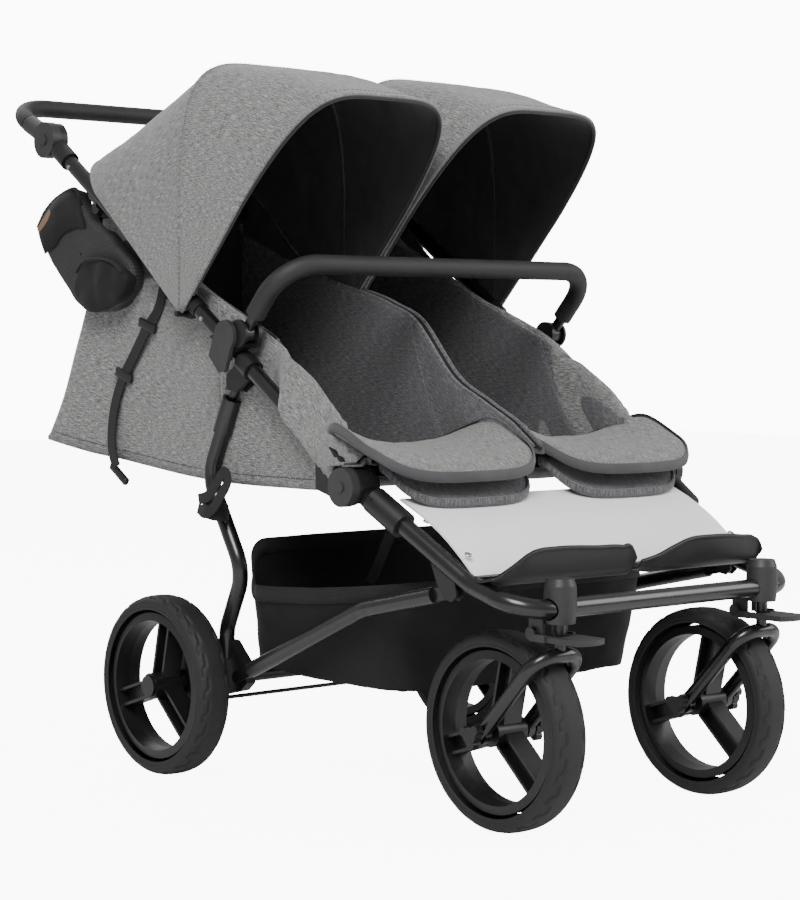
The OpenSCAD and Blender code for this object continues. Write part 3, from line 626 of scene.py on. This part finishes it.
def flare(y, z):
    """How far the lower rear corner of a seat's outer cloth stands out."""
    zb, zt = float(hem_z(y)), float(top_z(min(y, 345)))
    t = np.clip((z - zb) / max(zt - zb, 1), 0, 1)
    return FLARE * float(fade(y, 200, 462)) * float(1 - t) ** 1.3


def outer_wall(side):
    """Outer cloth of a seat: flat behind the hub, and wrapped round the main tube before it."""
    rows, nv = [], 44
    for y in np.linspace(-258, 462, 120):
        zb, zt = float(hem_z(y)), float(top_z(min(y, 345)))
        zb += (457 - zb) * float(fade(-y, 224, 236))
        zc = main_z(y)
        wrap = 1 - fade(y, -122, -70)
        pull = fade(y, 250, 462)
        pts = []
        flat_pts = [(246, zb + 2), (252, zb), (255.5, zb + 6), (257.5, zb + 0.35 * (zt - zb)),
                    (259, zb + 0.7 * (zt - zb)), (262, zt - 8), (260, zt), (256, zt - 2),
                    (253, zt - 14), (250, zt - 0.5 * (zt - zb)), (248, zb + 20)]
        r = 13.2 + 6.0 * fade(-y, 160, 188)
        wrap_pts = [(246, zb + 2), (253, zb), (268, max(zb + 6, zc - 26)),
                    (MAIN_X + 6, zc - r - 1), (MAIN_X + r, zc), (MAIN_X + r * 0.75, zc + r * 0.8),
                    (MAIN_X - 4, zc + 0.5 * (zt - zc) + 9), (MAIN_X - 15, zt - 3),
                    (MAIN_X - 21, zt - 4), (MAIN_X - 26, zt - 20), (248, zb + 24)]
        f = smooth_line([(a, 0, b) for a, b in flat_pts], nv)
        w = smooth_line([(a, 0, b) for a, b in wrap_pts], nv)
        for p, q in zip(f, w):
            x = p[0] * (1 - wrap) + q[0] * wrap
            z = p[2] * (1 - wrap) + q[2] * wrap
            t = np.clip((z - zb) / max(zt - zb, 1), 0, 1)
            back = -pull * (117 * t ** 0.75 - 8 * (1 - t))
            x += flare(y, z) * (x > 250)
            pts.append((side * x, y + back, max(z, zb)))
        rows.append(pts)
    P = np.array(rows)
    lower = np.clip((P[..., 2] - 425) / 30, 0, 1)
    P = ruffle(P, 2.8, 95, 2 + side, lower)
    gather = fade(-P[..., 1], 165, 225)
    folds = np.sin(P[..., 1] * 0.42 + np.sin(P[..., 2] * 0.11) * 2.2)
    # Long soft creases that fan out from the hub towards the rear corner
    away = np.hypot(P[..., 1] + 20, P[..., 2] - 600)
    turn = np.arctan2(P[..., 2] - 600, P[..., 1] + 20)
    creases = np.sin(turn * 16 + away * 0.006) * fade(away, 40, 160) * fade(-away, -430, -300)
    N = normals(P)
    return P + N * (gather * folds * 2.0 + creases * 1.5 * (1 - gather) * lower)[..., None]


# Row of the outer cloth where its rear half, made as a separate piece, begins
SIDE_CUT = 53
WING_FRONT = -300


def seat(side):
    tag = "right" if side < 0 else "left"
    s = side
    P = outer_wall(side)
    grid(f"seat_outer_cloth_{tag}", P[:SIDE_CUT + 1], ("grey_cloth", "grey_cloth"), "upper_frame",
         1.6, flip=side < 0, cad=[f"seat_shell_{tag}"])
    # The rear half is a separate piece with its own mesh
    o = grid(f"seat_rear_side_{tag}", P[SIDE_CUT:], ("grey_cloth", "grey_cloth"),
             "upper_frame", 1.6, flip=side < 0)
    press_in(o)
    # Hem stitches along the bottom and the wing's edge
    y = np.linspace(-180, 455, 90)
    line = np.array([(s * (257.8 + FLARE * float(fade(v, 200, 462))), v, float(hem_z(v)) + 13)
                     for v in y])
    o = stitches(f"seat_hem_stitch_{tag}", line, (s, 0, 0), "black_stitch", "upper_frame", 6,
                 4.4, 0.5)
    press_in(o)
    # Rear wall and floor
    rear = []
    for t in np.linspace(0, 1, 26):
        z = 466 + (792 - 466) * t
        yy = 462 - 117 * min(1, t / 0.62) ** 0.8
        wide = 1 + 0.105 * (1 - t) ** 1.3
        rear.append([(s * (8 + (x - 8) * wide),
                      yy + 8 * (1 - t) + 7 * math.sin(math.pi * (x - 8) / 246) * (1 - t), z)
                     for x in np.linspace(8, 257, 26)])
    o = grid(f"seat_rear_cloth_{tag}", ruffle(np.array(rear), 3, 80, 4 + s), ("grey_cloth",
             "lining"), "upper_frame", 1.6, flip=side > 0)
    press_in(o)
    base = []
    for v in np.linspace(-246, 461, 60):
        sag = 5 * math.sin(math.pi * (v + 246) / 707)
        base.append([(s * x, v, float(hem_z(v)) + 3 - sag * math.sin(math.pi * (x - 6) / 248))
                     for x in np.linspace(6, 253, 22)])
    grid(f"seat_floor_cloth_{tag}", ruffle(np.array(base), 2, 70, 7 + s), ("grey_cloth",
         "lining"), "upper_frame", 1.6, flip=side < 0)
    # Inside faces: a wing in front and a longer panel behind it, both in the seat heather darkened
    # as painted shade
    for k, (x, top) in enumerate(((247.0, top_z), (11.0, inner_top))):
        front, back = [], []
        for u in np.linspace(0, 1, 40):
            f_pts, b_pts = [], []
            for t in np.linspace(0, 1, 24):
                seam = -70 - 75 * (1 - t) ** 1.2 + 20 * t
                yf = WING_FRONT + (seam - WING_FRONT) * u
                zt = float(top(min(yf, 345))) - 3
                z0 = 455.0 if yf > -262 else 462.0
                bow = 16 * math.sin(math.pi * t) * math.sin(math.pi * min(1, u * 1.2)) * 0.6
                xx = x + (bow if k else -bow)
                if not k:
                    xx += 17 * t * fade(-yf, 40, 120)
                f_pts.append((s * xx, yf, z0 + (zt - z0) * t))
                yb = seam + (345 - seam) * u
                ztb = float(top(min(yb, 345))) - 3
                b_pts.append((s * (x + (-2 if not k else 2) * u), yb, 455 + (ztb - 455) * t))
            front.append(f_pts)
            back.append(b_pts)
        side_flip = (side < 0) == (k == 0)
        grid(f"seat_wing{k}_{tag}", ruffle(np.array(front), 2.2, 60, 11 + k + s),
             ("heather_painted_shade", "heather_painted_shade"), "upper_frame", 1.2, flip=side_flip)
        grid(f"seat_lining{k}_{tag}", ruffle(np.array(back), 2.5, 80, 15 + k + s),
             ("heather_painted_shade", "lining"), "upper_frame", 1.2, flip=side_flip)
        inwards = np.array([s if k else -s, 0, 0])
        sweep(f"seat_wing_seam{k}_{tag}", np.array(front[-1]) + inwards, ring(1.5, 8),
              "heather_painted_shade", "upper_frame")
    # Outer face of the inner wall, between the seats, in heather darkened as painted shade
    gap = [[(s * 5.0, v, 440 + (float(inner_top(v)) - 440) * t) for t in np.linspace(0, 1, 14)]
           for v in np.linspace(-262, 345, 60)]
    grid(f"seat_inner_cloth_{tag}", np.array(gap), ("heather_painted_shade", "lining"), "upper_frame",
         1.2, flip=side > 0)
    edge = np.array([(s * 8.0, v, float(inner_top(v)) - 2) for v in np.linspace(-298, 110, 70)])
    sweep(f"seat_inner_edge_{tag}", edge, ring(3.2, 10), "heather_painted_shade", "upper_frame")
    # Reclining back: a padded board with quilting channels
    back = []
    for t in np.linspace(0, 1, 50):
        yy = -105 + 464 * t
        z = 457.5 + 12 * t
        row = []
        for x in np.linspace(12.5, 247.5, 40):
            e = min(x - 12.5, 247.5 - x, 464 * t, 464 * (1 - t) + 0.01)
            puff = 7 * (1 - math.exp(-e / 9))
            quilt = 1.3 * abs(math.sin(math.pi * (x - 130) / 58)) * min(1, e / 20)
            row.append((s * x, yy, z + puff + quilt - 7))
        back.append(row)
    b = grid(f"seat_back_pad_{tag}", ruffle(np.array(back), 1.2, 40, 21 + s),
             ("black_cloth", "black_cloth"), f"seat_back_{tag}", 9.0, flip=side > 0,
             cad=[f"seat_back_{tag}"])


seat(-1)
seat(1)


# Pads -------------------------------------------------------------------------------------------

def plan(cx, cy, hx, hy, power, n):
    """Closed superellipse outline."""
    out = []
    for k in range(n):
        a = 2 * math.pi * k / n
        c, d = math.cos(a), math.sin(a)
        out.append((cx + hx * math.copysign(abs(c) ** (2 / power), c),
                    cy + hy * math.copysign(abs(d) ** (2 / power), d)))
    return out


def pad_piece(name, outline, height, thick, material, binding, body, cad, seed):
    """Stuffed pad: a closed shell between its upper and lower face, with a bound edge."""
    n = len(outline)
    c = np.mean(outline, axis=0)
    shares = [0.0, 0.2, 0.4, 0.58, 0.72, 0.83, 0.91, 0.96, 0.99, 1.0]
    verts, uvs, faces = [], [], []
    rings = [(r, 1) for r in shares] + [(r, -1) for r in shares[::-1][1:]]
    for r, up in rings:
        for k in range(n):
            x, y = c[0] + (outline[k][0] - c[0]) * r, c[1] + (outline[k][1] - c[1]) * r
            puff = thick / 2 * (1 - r ** 7) ** 0.5
            w = noise.noise(Vector((x / 46, y / 46, seed))) * 2.4 * (1 - r ** 6)
            w += noise.noise(Vector((x / 17, y / 17, seed + 3))) * 0.7 * (1 - r ** 6)
            verts.append((x, y, height(x, y) + up * (puff + (w if up > 0 else w * 0.3))))
            uvs.append((x, y))
    m = len(rings)
    for i in range(m - 1):
        for k in range(n):
            q = (k + 1) % n
            faces.append([i * n + k, i * n + q, (i + 1) * n + q, (i + 1) * n + k])
    faces.append(list(range(n))[::-1])
    faces.append([(m - 1) * n + k for k in range(n)])
    o = finish(mesh(name, verts, faces, uvs), material, body, cad)
    loop = np.array([(x, y, height(x, y)) for x, y in list(outline) + [outline[0]]])
    centre = np.array([c[0], c[1], height(*c)])
    band = []
    for off, h in ((-1.5, thick * 0.27), (0.8, thick * 0.24), (1.8, 0), (0.8, -thick * 0.24),
                   (-1.5, -thick * 0.27)):
        d = loop - centre
        d[:, 2] = 0
        d /= np.linalg.norm(d, axis=1, keepdims=True)
        band.append(loop + d * off + np.array([0, 0, h]))
    grid(name + "_binding", np.array(band), (binding, binding), body, 0.8)
    return o


def seat_pad_height(x, y):
    """Front edge droops in the middle, and both sides curl up towards the rear."""
    side = min(1.0, abs(abs(x) - 151) / 139)
    z = 441 + 17 * float(fade(y, -346, -292)) + 9 * float(fade(y, -300, -215))
    z += 6 * side ** 4 * (1 - float(fade(y, -345, -290)))
    return z + side ** 3 * (8 + 30 * float(fade(y, -335, -205)))


def calf_height(x, y):
    side = min(1.0, abs(abs(x) - 142) / 112)
    return 407 + 34 * float(fade(y, -338, -262)) + 14 * side ** 4


for side, tag in ((-1, "right"), (1, "left")):
    top = plan(side * 151, -256, 139, 92, 3.2, 150)
    pad_piece(f"seat_pad_cloth_{tag}", top, seat_pad_height, 24, "grey_cloth", "binding",
              "upper_frame", [f"seat_pad_{tag}"], 3 + side)
    low = plan(side * 142, -292, 113, 48, 3.0, 120)
    # Calf pad and its binding in heather darkened as painted shade
    pad_piece(f"calf_pad_cloth_{tag}", low, calf_height, 19, "heather_painted_shade", "heather_painted_shade",
              "upper_frame", [f"calf_pad_{tag}"], 8 + side)


# Bag behind the seats ---------------------------------------------------------------------------

def pillow(name, outline, x_in, x_out, side, material, seed, amount):
    """Soft lump with a closed (y, z) outline, round towards its outer face."""
    line = smooth_line([(0, y, z) for y, z in outline + outline[:1]], 73)[:-1]
    c = line.mean(0)
    rows = []
    for x, k in ((x_in, 0.97), (x_in + (x_out - x_in) * 0.55, 1.0),
                 (x_in + (x_out - x_in) * 0.8, 0.985), (x_out - 1.5, 0.94), (x_out - 0.2, 0.86),
                 (x_out + 0.3, 0.7), (x_out + 1, 0.45), (x_out + 1.2, 0.2), (x_out + 1.2, 0.02)):
        ring_pts = c + (line - c) * k
        ring_pts[:, 0] = side * x
        rows.append(ring_pts)
    P = ruffle(np.array(rows), amount, 34, seed)
    return grid(name, P, material, "upper_frame", closed=True, flip=side > 0)


def bag():
    profile = [(372, 792), (361, 770), (359, 715), (364, 676), (385, 659), (412, 668),
               (450, 706), (484, 748), (504, 780), (506, 800), (494, 812)]
    rows = []
    for x in np.linspace(-262, 262, 56):
        sag = 9 * math.cos(math.pi * x / 524) + 3 * math.cos(math.pi * x / 90)
        line = smooth_line([(0, y + (sag * 0.5 if y > 440 else 0), z - sag * 0.5)
                            for y, z in profile], 44)
        rows.append([(x, p[1], p[2]) for p in line])
    P = ruffle(np.array(rows), 4, 60, 31)
    grid("bag_body", P, ("black_cloth", "black_cloth"), "upper_frame", 1.6,
         cad=["organiser_bag"])
    for k, j in enumerate((0, -1)):
        sweep(f"bag_rim{k}", P[:, j], ring(3.2, 10), "webbing", "upper_frame")
    end = [(284, 752), (246, 722), (238, 702), (250, 680), (284, 659), (338, 655), (384, 666),
           (414, 690), (454, 731), (484, 762), (490, 784), (468, 806), (437, 824), (388, 836),
           (372, 812), (344, 784), (312, 770)]
    pocket = [(362, 722), (332, 728), (296, 728), (258, 718), (236, 704), (240, 684), (262, 666),
              (300, 656), (342, 656), (370, 672), (374, 700)]
    for side, tag in ((-1, "right"), (1, "left")):
        pillow(f"bag_end_{tag}", end, 264, 288, side, "mesh", 33, 3.5)
        pillow(f"bag_pocket_{tag}", pocket, 280, 301, side, "black_cloth", 37, 5.0)
        lip = [(side * 299, y, z) for y, z in ((366, 712), (346, 727), (310, 731), (272, 725),
                                               (244, 710))]
        wire(f"bag_pocket_lip_{tag}", lip, 2.4, "webbing", "upper_frame")
        yoke = []
        for (y0, z0), (y1, z1) in (((372, 822), (352, 776)), ((398, 834), (380, 778)),
                                   ((437, 823), (412, 770)), ((468, 804), (436, 752)),
                                   ((488, 782), (462, 741))):
            yoke.append([(side * 287.5, y0, z0), (side * 290.5, y0 * 0.75 + y1 * 0.25,
                                                  z0 * 0.75 + z1 * 0.25),
                         (side * 291.5, y0 / 2 + y1 / 2, z0 / 2 + z1 / 2),
                         (side * 291.5, y1, z1)])
        yoke = np.array([smooth_line([row[j] for row in yoke], 20) for j in range(4)])
        grid(f"bag_yoke_{tag}", ruffle(yoke, 1.2, 30, 39), ("black_cloth", "black_cloth"),
             "upper_frame", 1.0, flip=side > 0)
        rim = [(side * 285, y, z) for y, z in ((372, 812), (388, 836), (437, 825), (470, 806),
                                               (491, 783))]
        wire(f"bag_end_rim_{tag}", rim, 2.6, "webbing", "upper_frame")
    box_piece("bag_label", (-289.6, 466, 790), (1.6, 44, 11), "label", "upper_frame",
              ((1, 0, 0), -40), 0.5)


bag()


# Footrests --------------------------------------------------------------------------------------

# Height of each blade's top edge over the distance from the middle
FOOT_TOP = {
    "right": knots([(6, 336), (12, 349), (30, 353), (74, 355), (145, 358), (189, 355),
                    (226, 338), (250, 328), (260, 325)]),
    "left": knots([(4, 332), (37, 338), (66, 347), (95, 355), (144, 357), (200, 354),
                   (226, 350), (236, 343), (241, 330)]),
}


def footrest(side, tag):
    """Scoop with a low floor and a front wall; both blades rise towards the left side."""
    top = FOOT_TOP[tag]
    rows = []
    for x in np.linspace(6, 258 if side < 0 else 240, 70):
        z = float(top(x))
        end = float(fade(x, 222, 260)) if side < 0 else float(fade(-x, -40, -4))
        section = [(x, -447, 317 + 4 * end), (x, -460, 314.5 + 5 * end),
                   (x, -470, 315 + 6 * end), (x, -478, 321 + 2 * end),
                   (x, -482.5, 321 + (z - 321) * 0.45), (x, -486, z - 3), (x, -488, z)]
        rows.append([(side * q[0], q[1], q[2]) for q in smooth_line(section, 26)])
    grid(f"footrest_blade_{tag}", np.array(rows), "black_moulding", "front_frame", 4.0,
         cad=[f"footrest_{tag}"], flip=side > 0)


for side, tag in ((-1, "right"), (1, "left")):
    footrest(side, tag)
    for k, (y, z) in enumerate(((-351, 387), (-428, 351))):
        button(f"plate_rivet_{tag}_{k}", (side * 245, y, z), (0, -0.42, 0.91), 5, 2.5,
               "steel", "front_frame")


# Basket -----------------------------------------------------------------------------------------

BASKET_FLOOR = 158.0


def crumple(o):
    """Gives a basket piece its own copy of its mesh."""
    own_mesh(o)


def basket():
    """Sewn basket: walls from a hemmed rim down to a floor panel."""
    n = 150
    rim, low = [], []
    for k in range(n):
        a = 2 * math.pi * k / n
        c, d = math.cos(a), math.sin(a)
        p = 9
        x = math.copysign(abs(c) ** (2 / p), c)
        y = math.copysign(abs(d) ** (2 / p), d)
        yy = -124 + 171 * y
        rise = 61 * float(fade(yy, 12, 44))
        rim.append((239 * x, yy, 293 + (266 - 293) * (yy + 295) / 342 - 6 * (1 - y * y) + rise))
        p = 6
        x = math.copysign(abs(c) ** (2 / p), c)
        y = math.copysign(abs(d) ** (2 / p), d)
        yy = -106 + 180 * y
        low.append((222 * x, yy, BASKET_FLOOR))
    rim, low = np.array(rim), np.array(low)
    rows = []
    for t in np.linspace(0, 1, 26):
        rows.append(rim * (1 - t) + low * t)
    for t in (0.985, 0.93, 0.7, 0.4, 0.1, 0.0):
        c = low.mean(0)
        rows.append(c + (low - c) * t - np.array([0, 0, 5 * (1 - t * t)]))
    P = ruffle(np.array(rows), 5.0, 90, 41)
    P = ruffle(P, 1.6, 30, 43)
    P[..., 2] = np.maximum(P[..., 2], 146)
    o = grid("basket_cloth", P, ("black_cloth", "black_cloth"), "rail_frame", 1.6, closed=True,
             cad=["basket"], flip=True)
    crumple(o)
    hem = np.vstack([P[0], P[0][:1]])
    h = sweep("basket_hem", hem, flat(3.4, 20), "webbing", "rail_frame",
              up=lambda t: (0, 0, 1), cap=False)
    crumple(h)


basket()


# Straps -----------------------------------------------------------------------------------------

WEBBING_THICK = 1.8


def strap(name, points, width, body, facing, n=60):
    """Webbing along points; facing is the direction its flat side looks."""
    line = smooth_line(points, n)
    f = facing if callable(facing) else (lambda t: facing)
    return sweep(name, line, flat(width, WEBBING_THICK), "webbing", body, up=f, smooth=False)


for side, tag in ((-1, "right"), (1, "left")):
    line = [(3, 190, 690), (3, 205, 655), (5, 232, 626), (4, 262, 590), (5, 288, 553),
            (4, 304, 515), (4, 309, 478), (4, 306, 448), (5, 296, 428)]
    o = strap(f"recline_strap_{tag}", [(side * (262.5 + k + flare(y, z)), y, z)
                                       for k, y, z in line],
              19, "upper_frame", (side, 0, 0))
    press_in(o)
    x = side * 264.5
    for k, (yy, zz) in enumerate(((229, 634), (284, 562))):
        box_piece(f"strap_keeper{k}_{tag}", (x + side * (2 + flare(yy, zz)), yy, zz), (6, 40, 13),
                  "black_moulding", "upper_frame", ((1, 0, 0), 18), 1.5)
    o = box_piece(f"strap_toggle_{tag}", (x + side * 9, 292, 418), (9, 46, 11),
                  "black_moulding", "upper_frame", ((1, 0, 0), 32), 3)
    press_in(o)


# Basket straps down the side, and the strap that holds the frame folded
for side, tag in ((-1, "right"), (1, "left")):
    o = strap(f"basket_strap_{tag}", [(side * 150, -174, 360), (side * 150, -162, 338),
                                      (side * 150, -146, 310), (side * 150, -129, 284)],
              19, "rail_frame", (side, 0, 0), n=24)
    crumple(o)


def leg_strap():
    x = -291
    loop = [(x - 15, 52, 384), (x - 17, 34, 378), (x - 16, 16, 386), (x - 15, 0, 404),
            (x - 14, -14, 424), (x - 14, -6, 436), (x - 15, 10, 420), (x - 16, 28, 402),
            (x - 15.5, 50, 396)]
    strap("fold_strap_loop", loop, 15, "rear_frame", (-1, 0, 0), n=70)
    around = [(x + 17 * math.sin(a), 33 + 17 * math.cos(a), 381 + 5 * math.cos(a))
              for a in np.linspace(0, 2 * math.pi, 15)]
    strap("fold_strap_band", around, 18, "rear_frame", lambda t: (
        math.sin(2 * math.pi * t), math.cos(2 * math.pi * t), 0), n=48)


leg_strap()


# Tyres ------------------------------------------------------------------------------------------

def tyre(name, x, y, body, cad, phase):
    """Tyre with side rings and slanted S-shaped grooves near both shoulders."""
    seat_r, half, out_r = 103.0, 25.0, 127.0
    deep = out_r - seat_r
    mid = out_r - deep * 0.6
    prof = []
    for k in range(61):
        a = math.radians(-105 + 210 * k / 60)
        c, s = math.cos(a), math.sin(a)
        prof.append((mid + deep * 0.6 * math.copysign(abs(c) ** 0.7, c),
                     half * math.copysign(abs(s) ** 0.7, s)))
    prof = resample([(p[0], p[1], 0) for p in prof], 60)[:, :2]
    run = np.r_[0, np.cumsum(np.linalg.norm(np.diff(prof, axis=0), axis=1))]
    run -= run[-1] / 2
    nrm = np.gradient(prof, axis=0)
    nrm = np.stack([-nrm[:, 1], nrm[:, 0]], 1)
    nrm /= np.linalg.norm(nrm, axis=1, keepdims=True)
    nrm *= np.sign(nrm[len(nrm) // 2, 0])
    turns = 360
    pitch = 2 * math.pi * out_r / 24
    path = np.array([(0.02, 21.5), (0.30, 21.5), (0.52, 14.0), (0.92, 14.0)])
    path[:, 0] *= pitch
    a = (2 * np.pi * np.arange(turns) / turns)[:, None]
    s = np.abs(run)[None, :]
    far = run[None, :] < 0
    along = (a * out_r + np.where(far, pitch * 0.5, 0) + phase) % pitch
    along = np.where(far, pitch - along, along)
    dist = np.full(along.shape, 99.0)
    for p, q in zip(path[:-1], path[1:]):
        d = q - p
        t = np.clip(((along - p[0]) * d[0] + (s - p[1]) * d[1]) / (d @ d), 0, 1)
        dist = np.minimum(dist, np.hypot(along - p[0] - t * d[0], s - p[1] - t * d[1]))
    cut = 2.0 * (1 - fade(dist, 0.9, 2.3))
    for at, dep in ((33.5, 0.9), (39.0, 0.6)):
        cut = np.maximum(cut, dep * (1 - fade(np.abs(s - at), 0.3, 1.1)))
    rr = prof[None, :, 0] - nrm[None, :, 0] * cut
    ww = prof[None, :, 1] - nrm[None, :, 1] * cut
    verts = np.stack([x + ww, y + rr * np.cos(a), 127 + rr * np.sin(a)], 2).reshape(-1, 3)
    uvs = np.stack(np.broadcast_arrays(a * out_r, run[None, :]), 2).reshape(-1, 2)
    m = len(prof)
    faces = [[k * m + j, k * m + j + 1, ((k + 1) % turns) * m + j + 1, ((k + 1) % turns) * m + j]
             for k in range(turns) for j in range(m - 1)]
    return finish(mesh(name, verts, faces, uvs), "tyre", body, cad)


for side, tag in ((-1, "right"), (1, "left")):
    tyre(f"front_tread_{tag}", side * 188, -433.5, f"front_wheel_{tag}",
         [f"front_tyre_{tag}"], 0)
    tyre(f"rear_tread_{tag}", side * 290, 155, f"rear_wheel_{tag}", [f"rear_tyre_{tag}"], 9)


# Camera, floor and light ------------------------------------------------------------------------

def camera():
    az, el, roll = (math.radians(v) for v in (-40.98, 2.89, 0.16))
    back = Vector((math.sin(az) * math.cos(el), -math.cos(az) * math.cos(el), math.sin(el)))
    cam = bpy.data.objects.new("camera", bpy.data.cameras.new("camera"))
    bpy.context.scene.collection.objects.link(cam)
    cam.location = (-2.16585, -2.51059, 0.62346)
    cam.rotation_mode = "QUATERNION"
    cam.rotation_quaternion = back.to_track_quat("Z", "Y") @ Quaternion((0, 0, 1), roll)
    cam.data.sensor_width = 36
    cam.data.lens = 92.2
    bpy.context.scene.camera = cam


FLOOR_GLOW, SKY_LIGHT, SKY_SEEN = 9.0, 0.5, 11.0


def studio():
    """Pale floor and sky, brighter to the camera than the light they give."""
    m, t, b = nodes_of("floor_paint")
    b.inputs["Base Color"].default_value = (0.86, 0.86, 0.86, 1)
    b.inputs["Roughness"].default_value = 0.7
    b.inputs["Emission Color"].default_value = (1, 1, 1, 1)
    eye = t.nodes.new("ShaderNodeLightPath")
    glow = t.nodes.new("ShaderNodeMath")
    glow.operation = "MULTIPLY"
    glow.inputs[1].default_value = FLOOR_GLOW
    link(t, eye, "Is Camera Ray", glow, 0)
    link(t, glow, "Value", b, "Emission Strength")
    floor = mesh("floor", [(-9000, -9000, 0), (9000, -9000, 0), (9000, 9000, 0),
                           (-9000, 9000, 0)], [[0, 1, 2, 3]])
    floor.data.materials.append(m)
    w = bpy.data.worlds.new("studio")
    bpy.context.scene.world = w
    w.use_nodes = True
    t = w.node_tree
    soft = next(n for n in t.nodes if n.type == "BACKGROUND")
    soft.inputs["Color"].default_value = (1, 1, 1, 1)
    soft.inputs["Strength"].default_value = SKY_LIGHT
    seen = t.nodes.new("ShaderNodeBackground")
    seen.inputs["Color"].default_value = (1, 1, 1, 1)
    seen.inputs["Strength"].default_value = SKY_SEEN
    rays = t.nodes.new("ShaderNodeLightPath")
    pick = t.nodes.new("ShaderNodeMixShader")
    link(t, rays, "Is Camera Ray", pick, 0)
    link(t, soft, "Background", pick, 1)
    link(t, seen, "Background", pick, 2)
    link(t, pick, "Shader", next(n for n in t.nodes if n.type == "OUTPUT_WORLD"), "Surface")
    for name, at, size, power in (("key", (-2.6, -2.2, 3.4), 1.8, 190),
                                  ("fill", (2.8, -2.6, 2.2), 2.2, 75),
                                  ("back", (0.5, 3.2, 3.0), 2.6, 70)):
        d = bpy.data.lights.new(name, "AREA")
        d.shape = "SQUARE"
        d.size = size
        d.energy = power
        o = bpy.data.objects.new(name, d)
        bpy.context.scene.collection.objects.link(o)
        o.location = at
        o.rotation_mode = "QUATERNION"
        o.rotation_quaternion = (Vector(at) - Vector((0, 0, 0.5))).to_track_quat("Z", "Y")


camera()
studio()
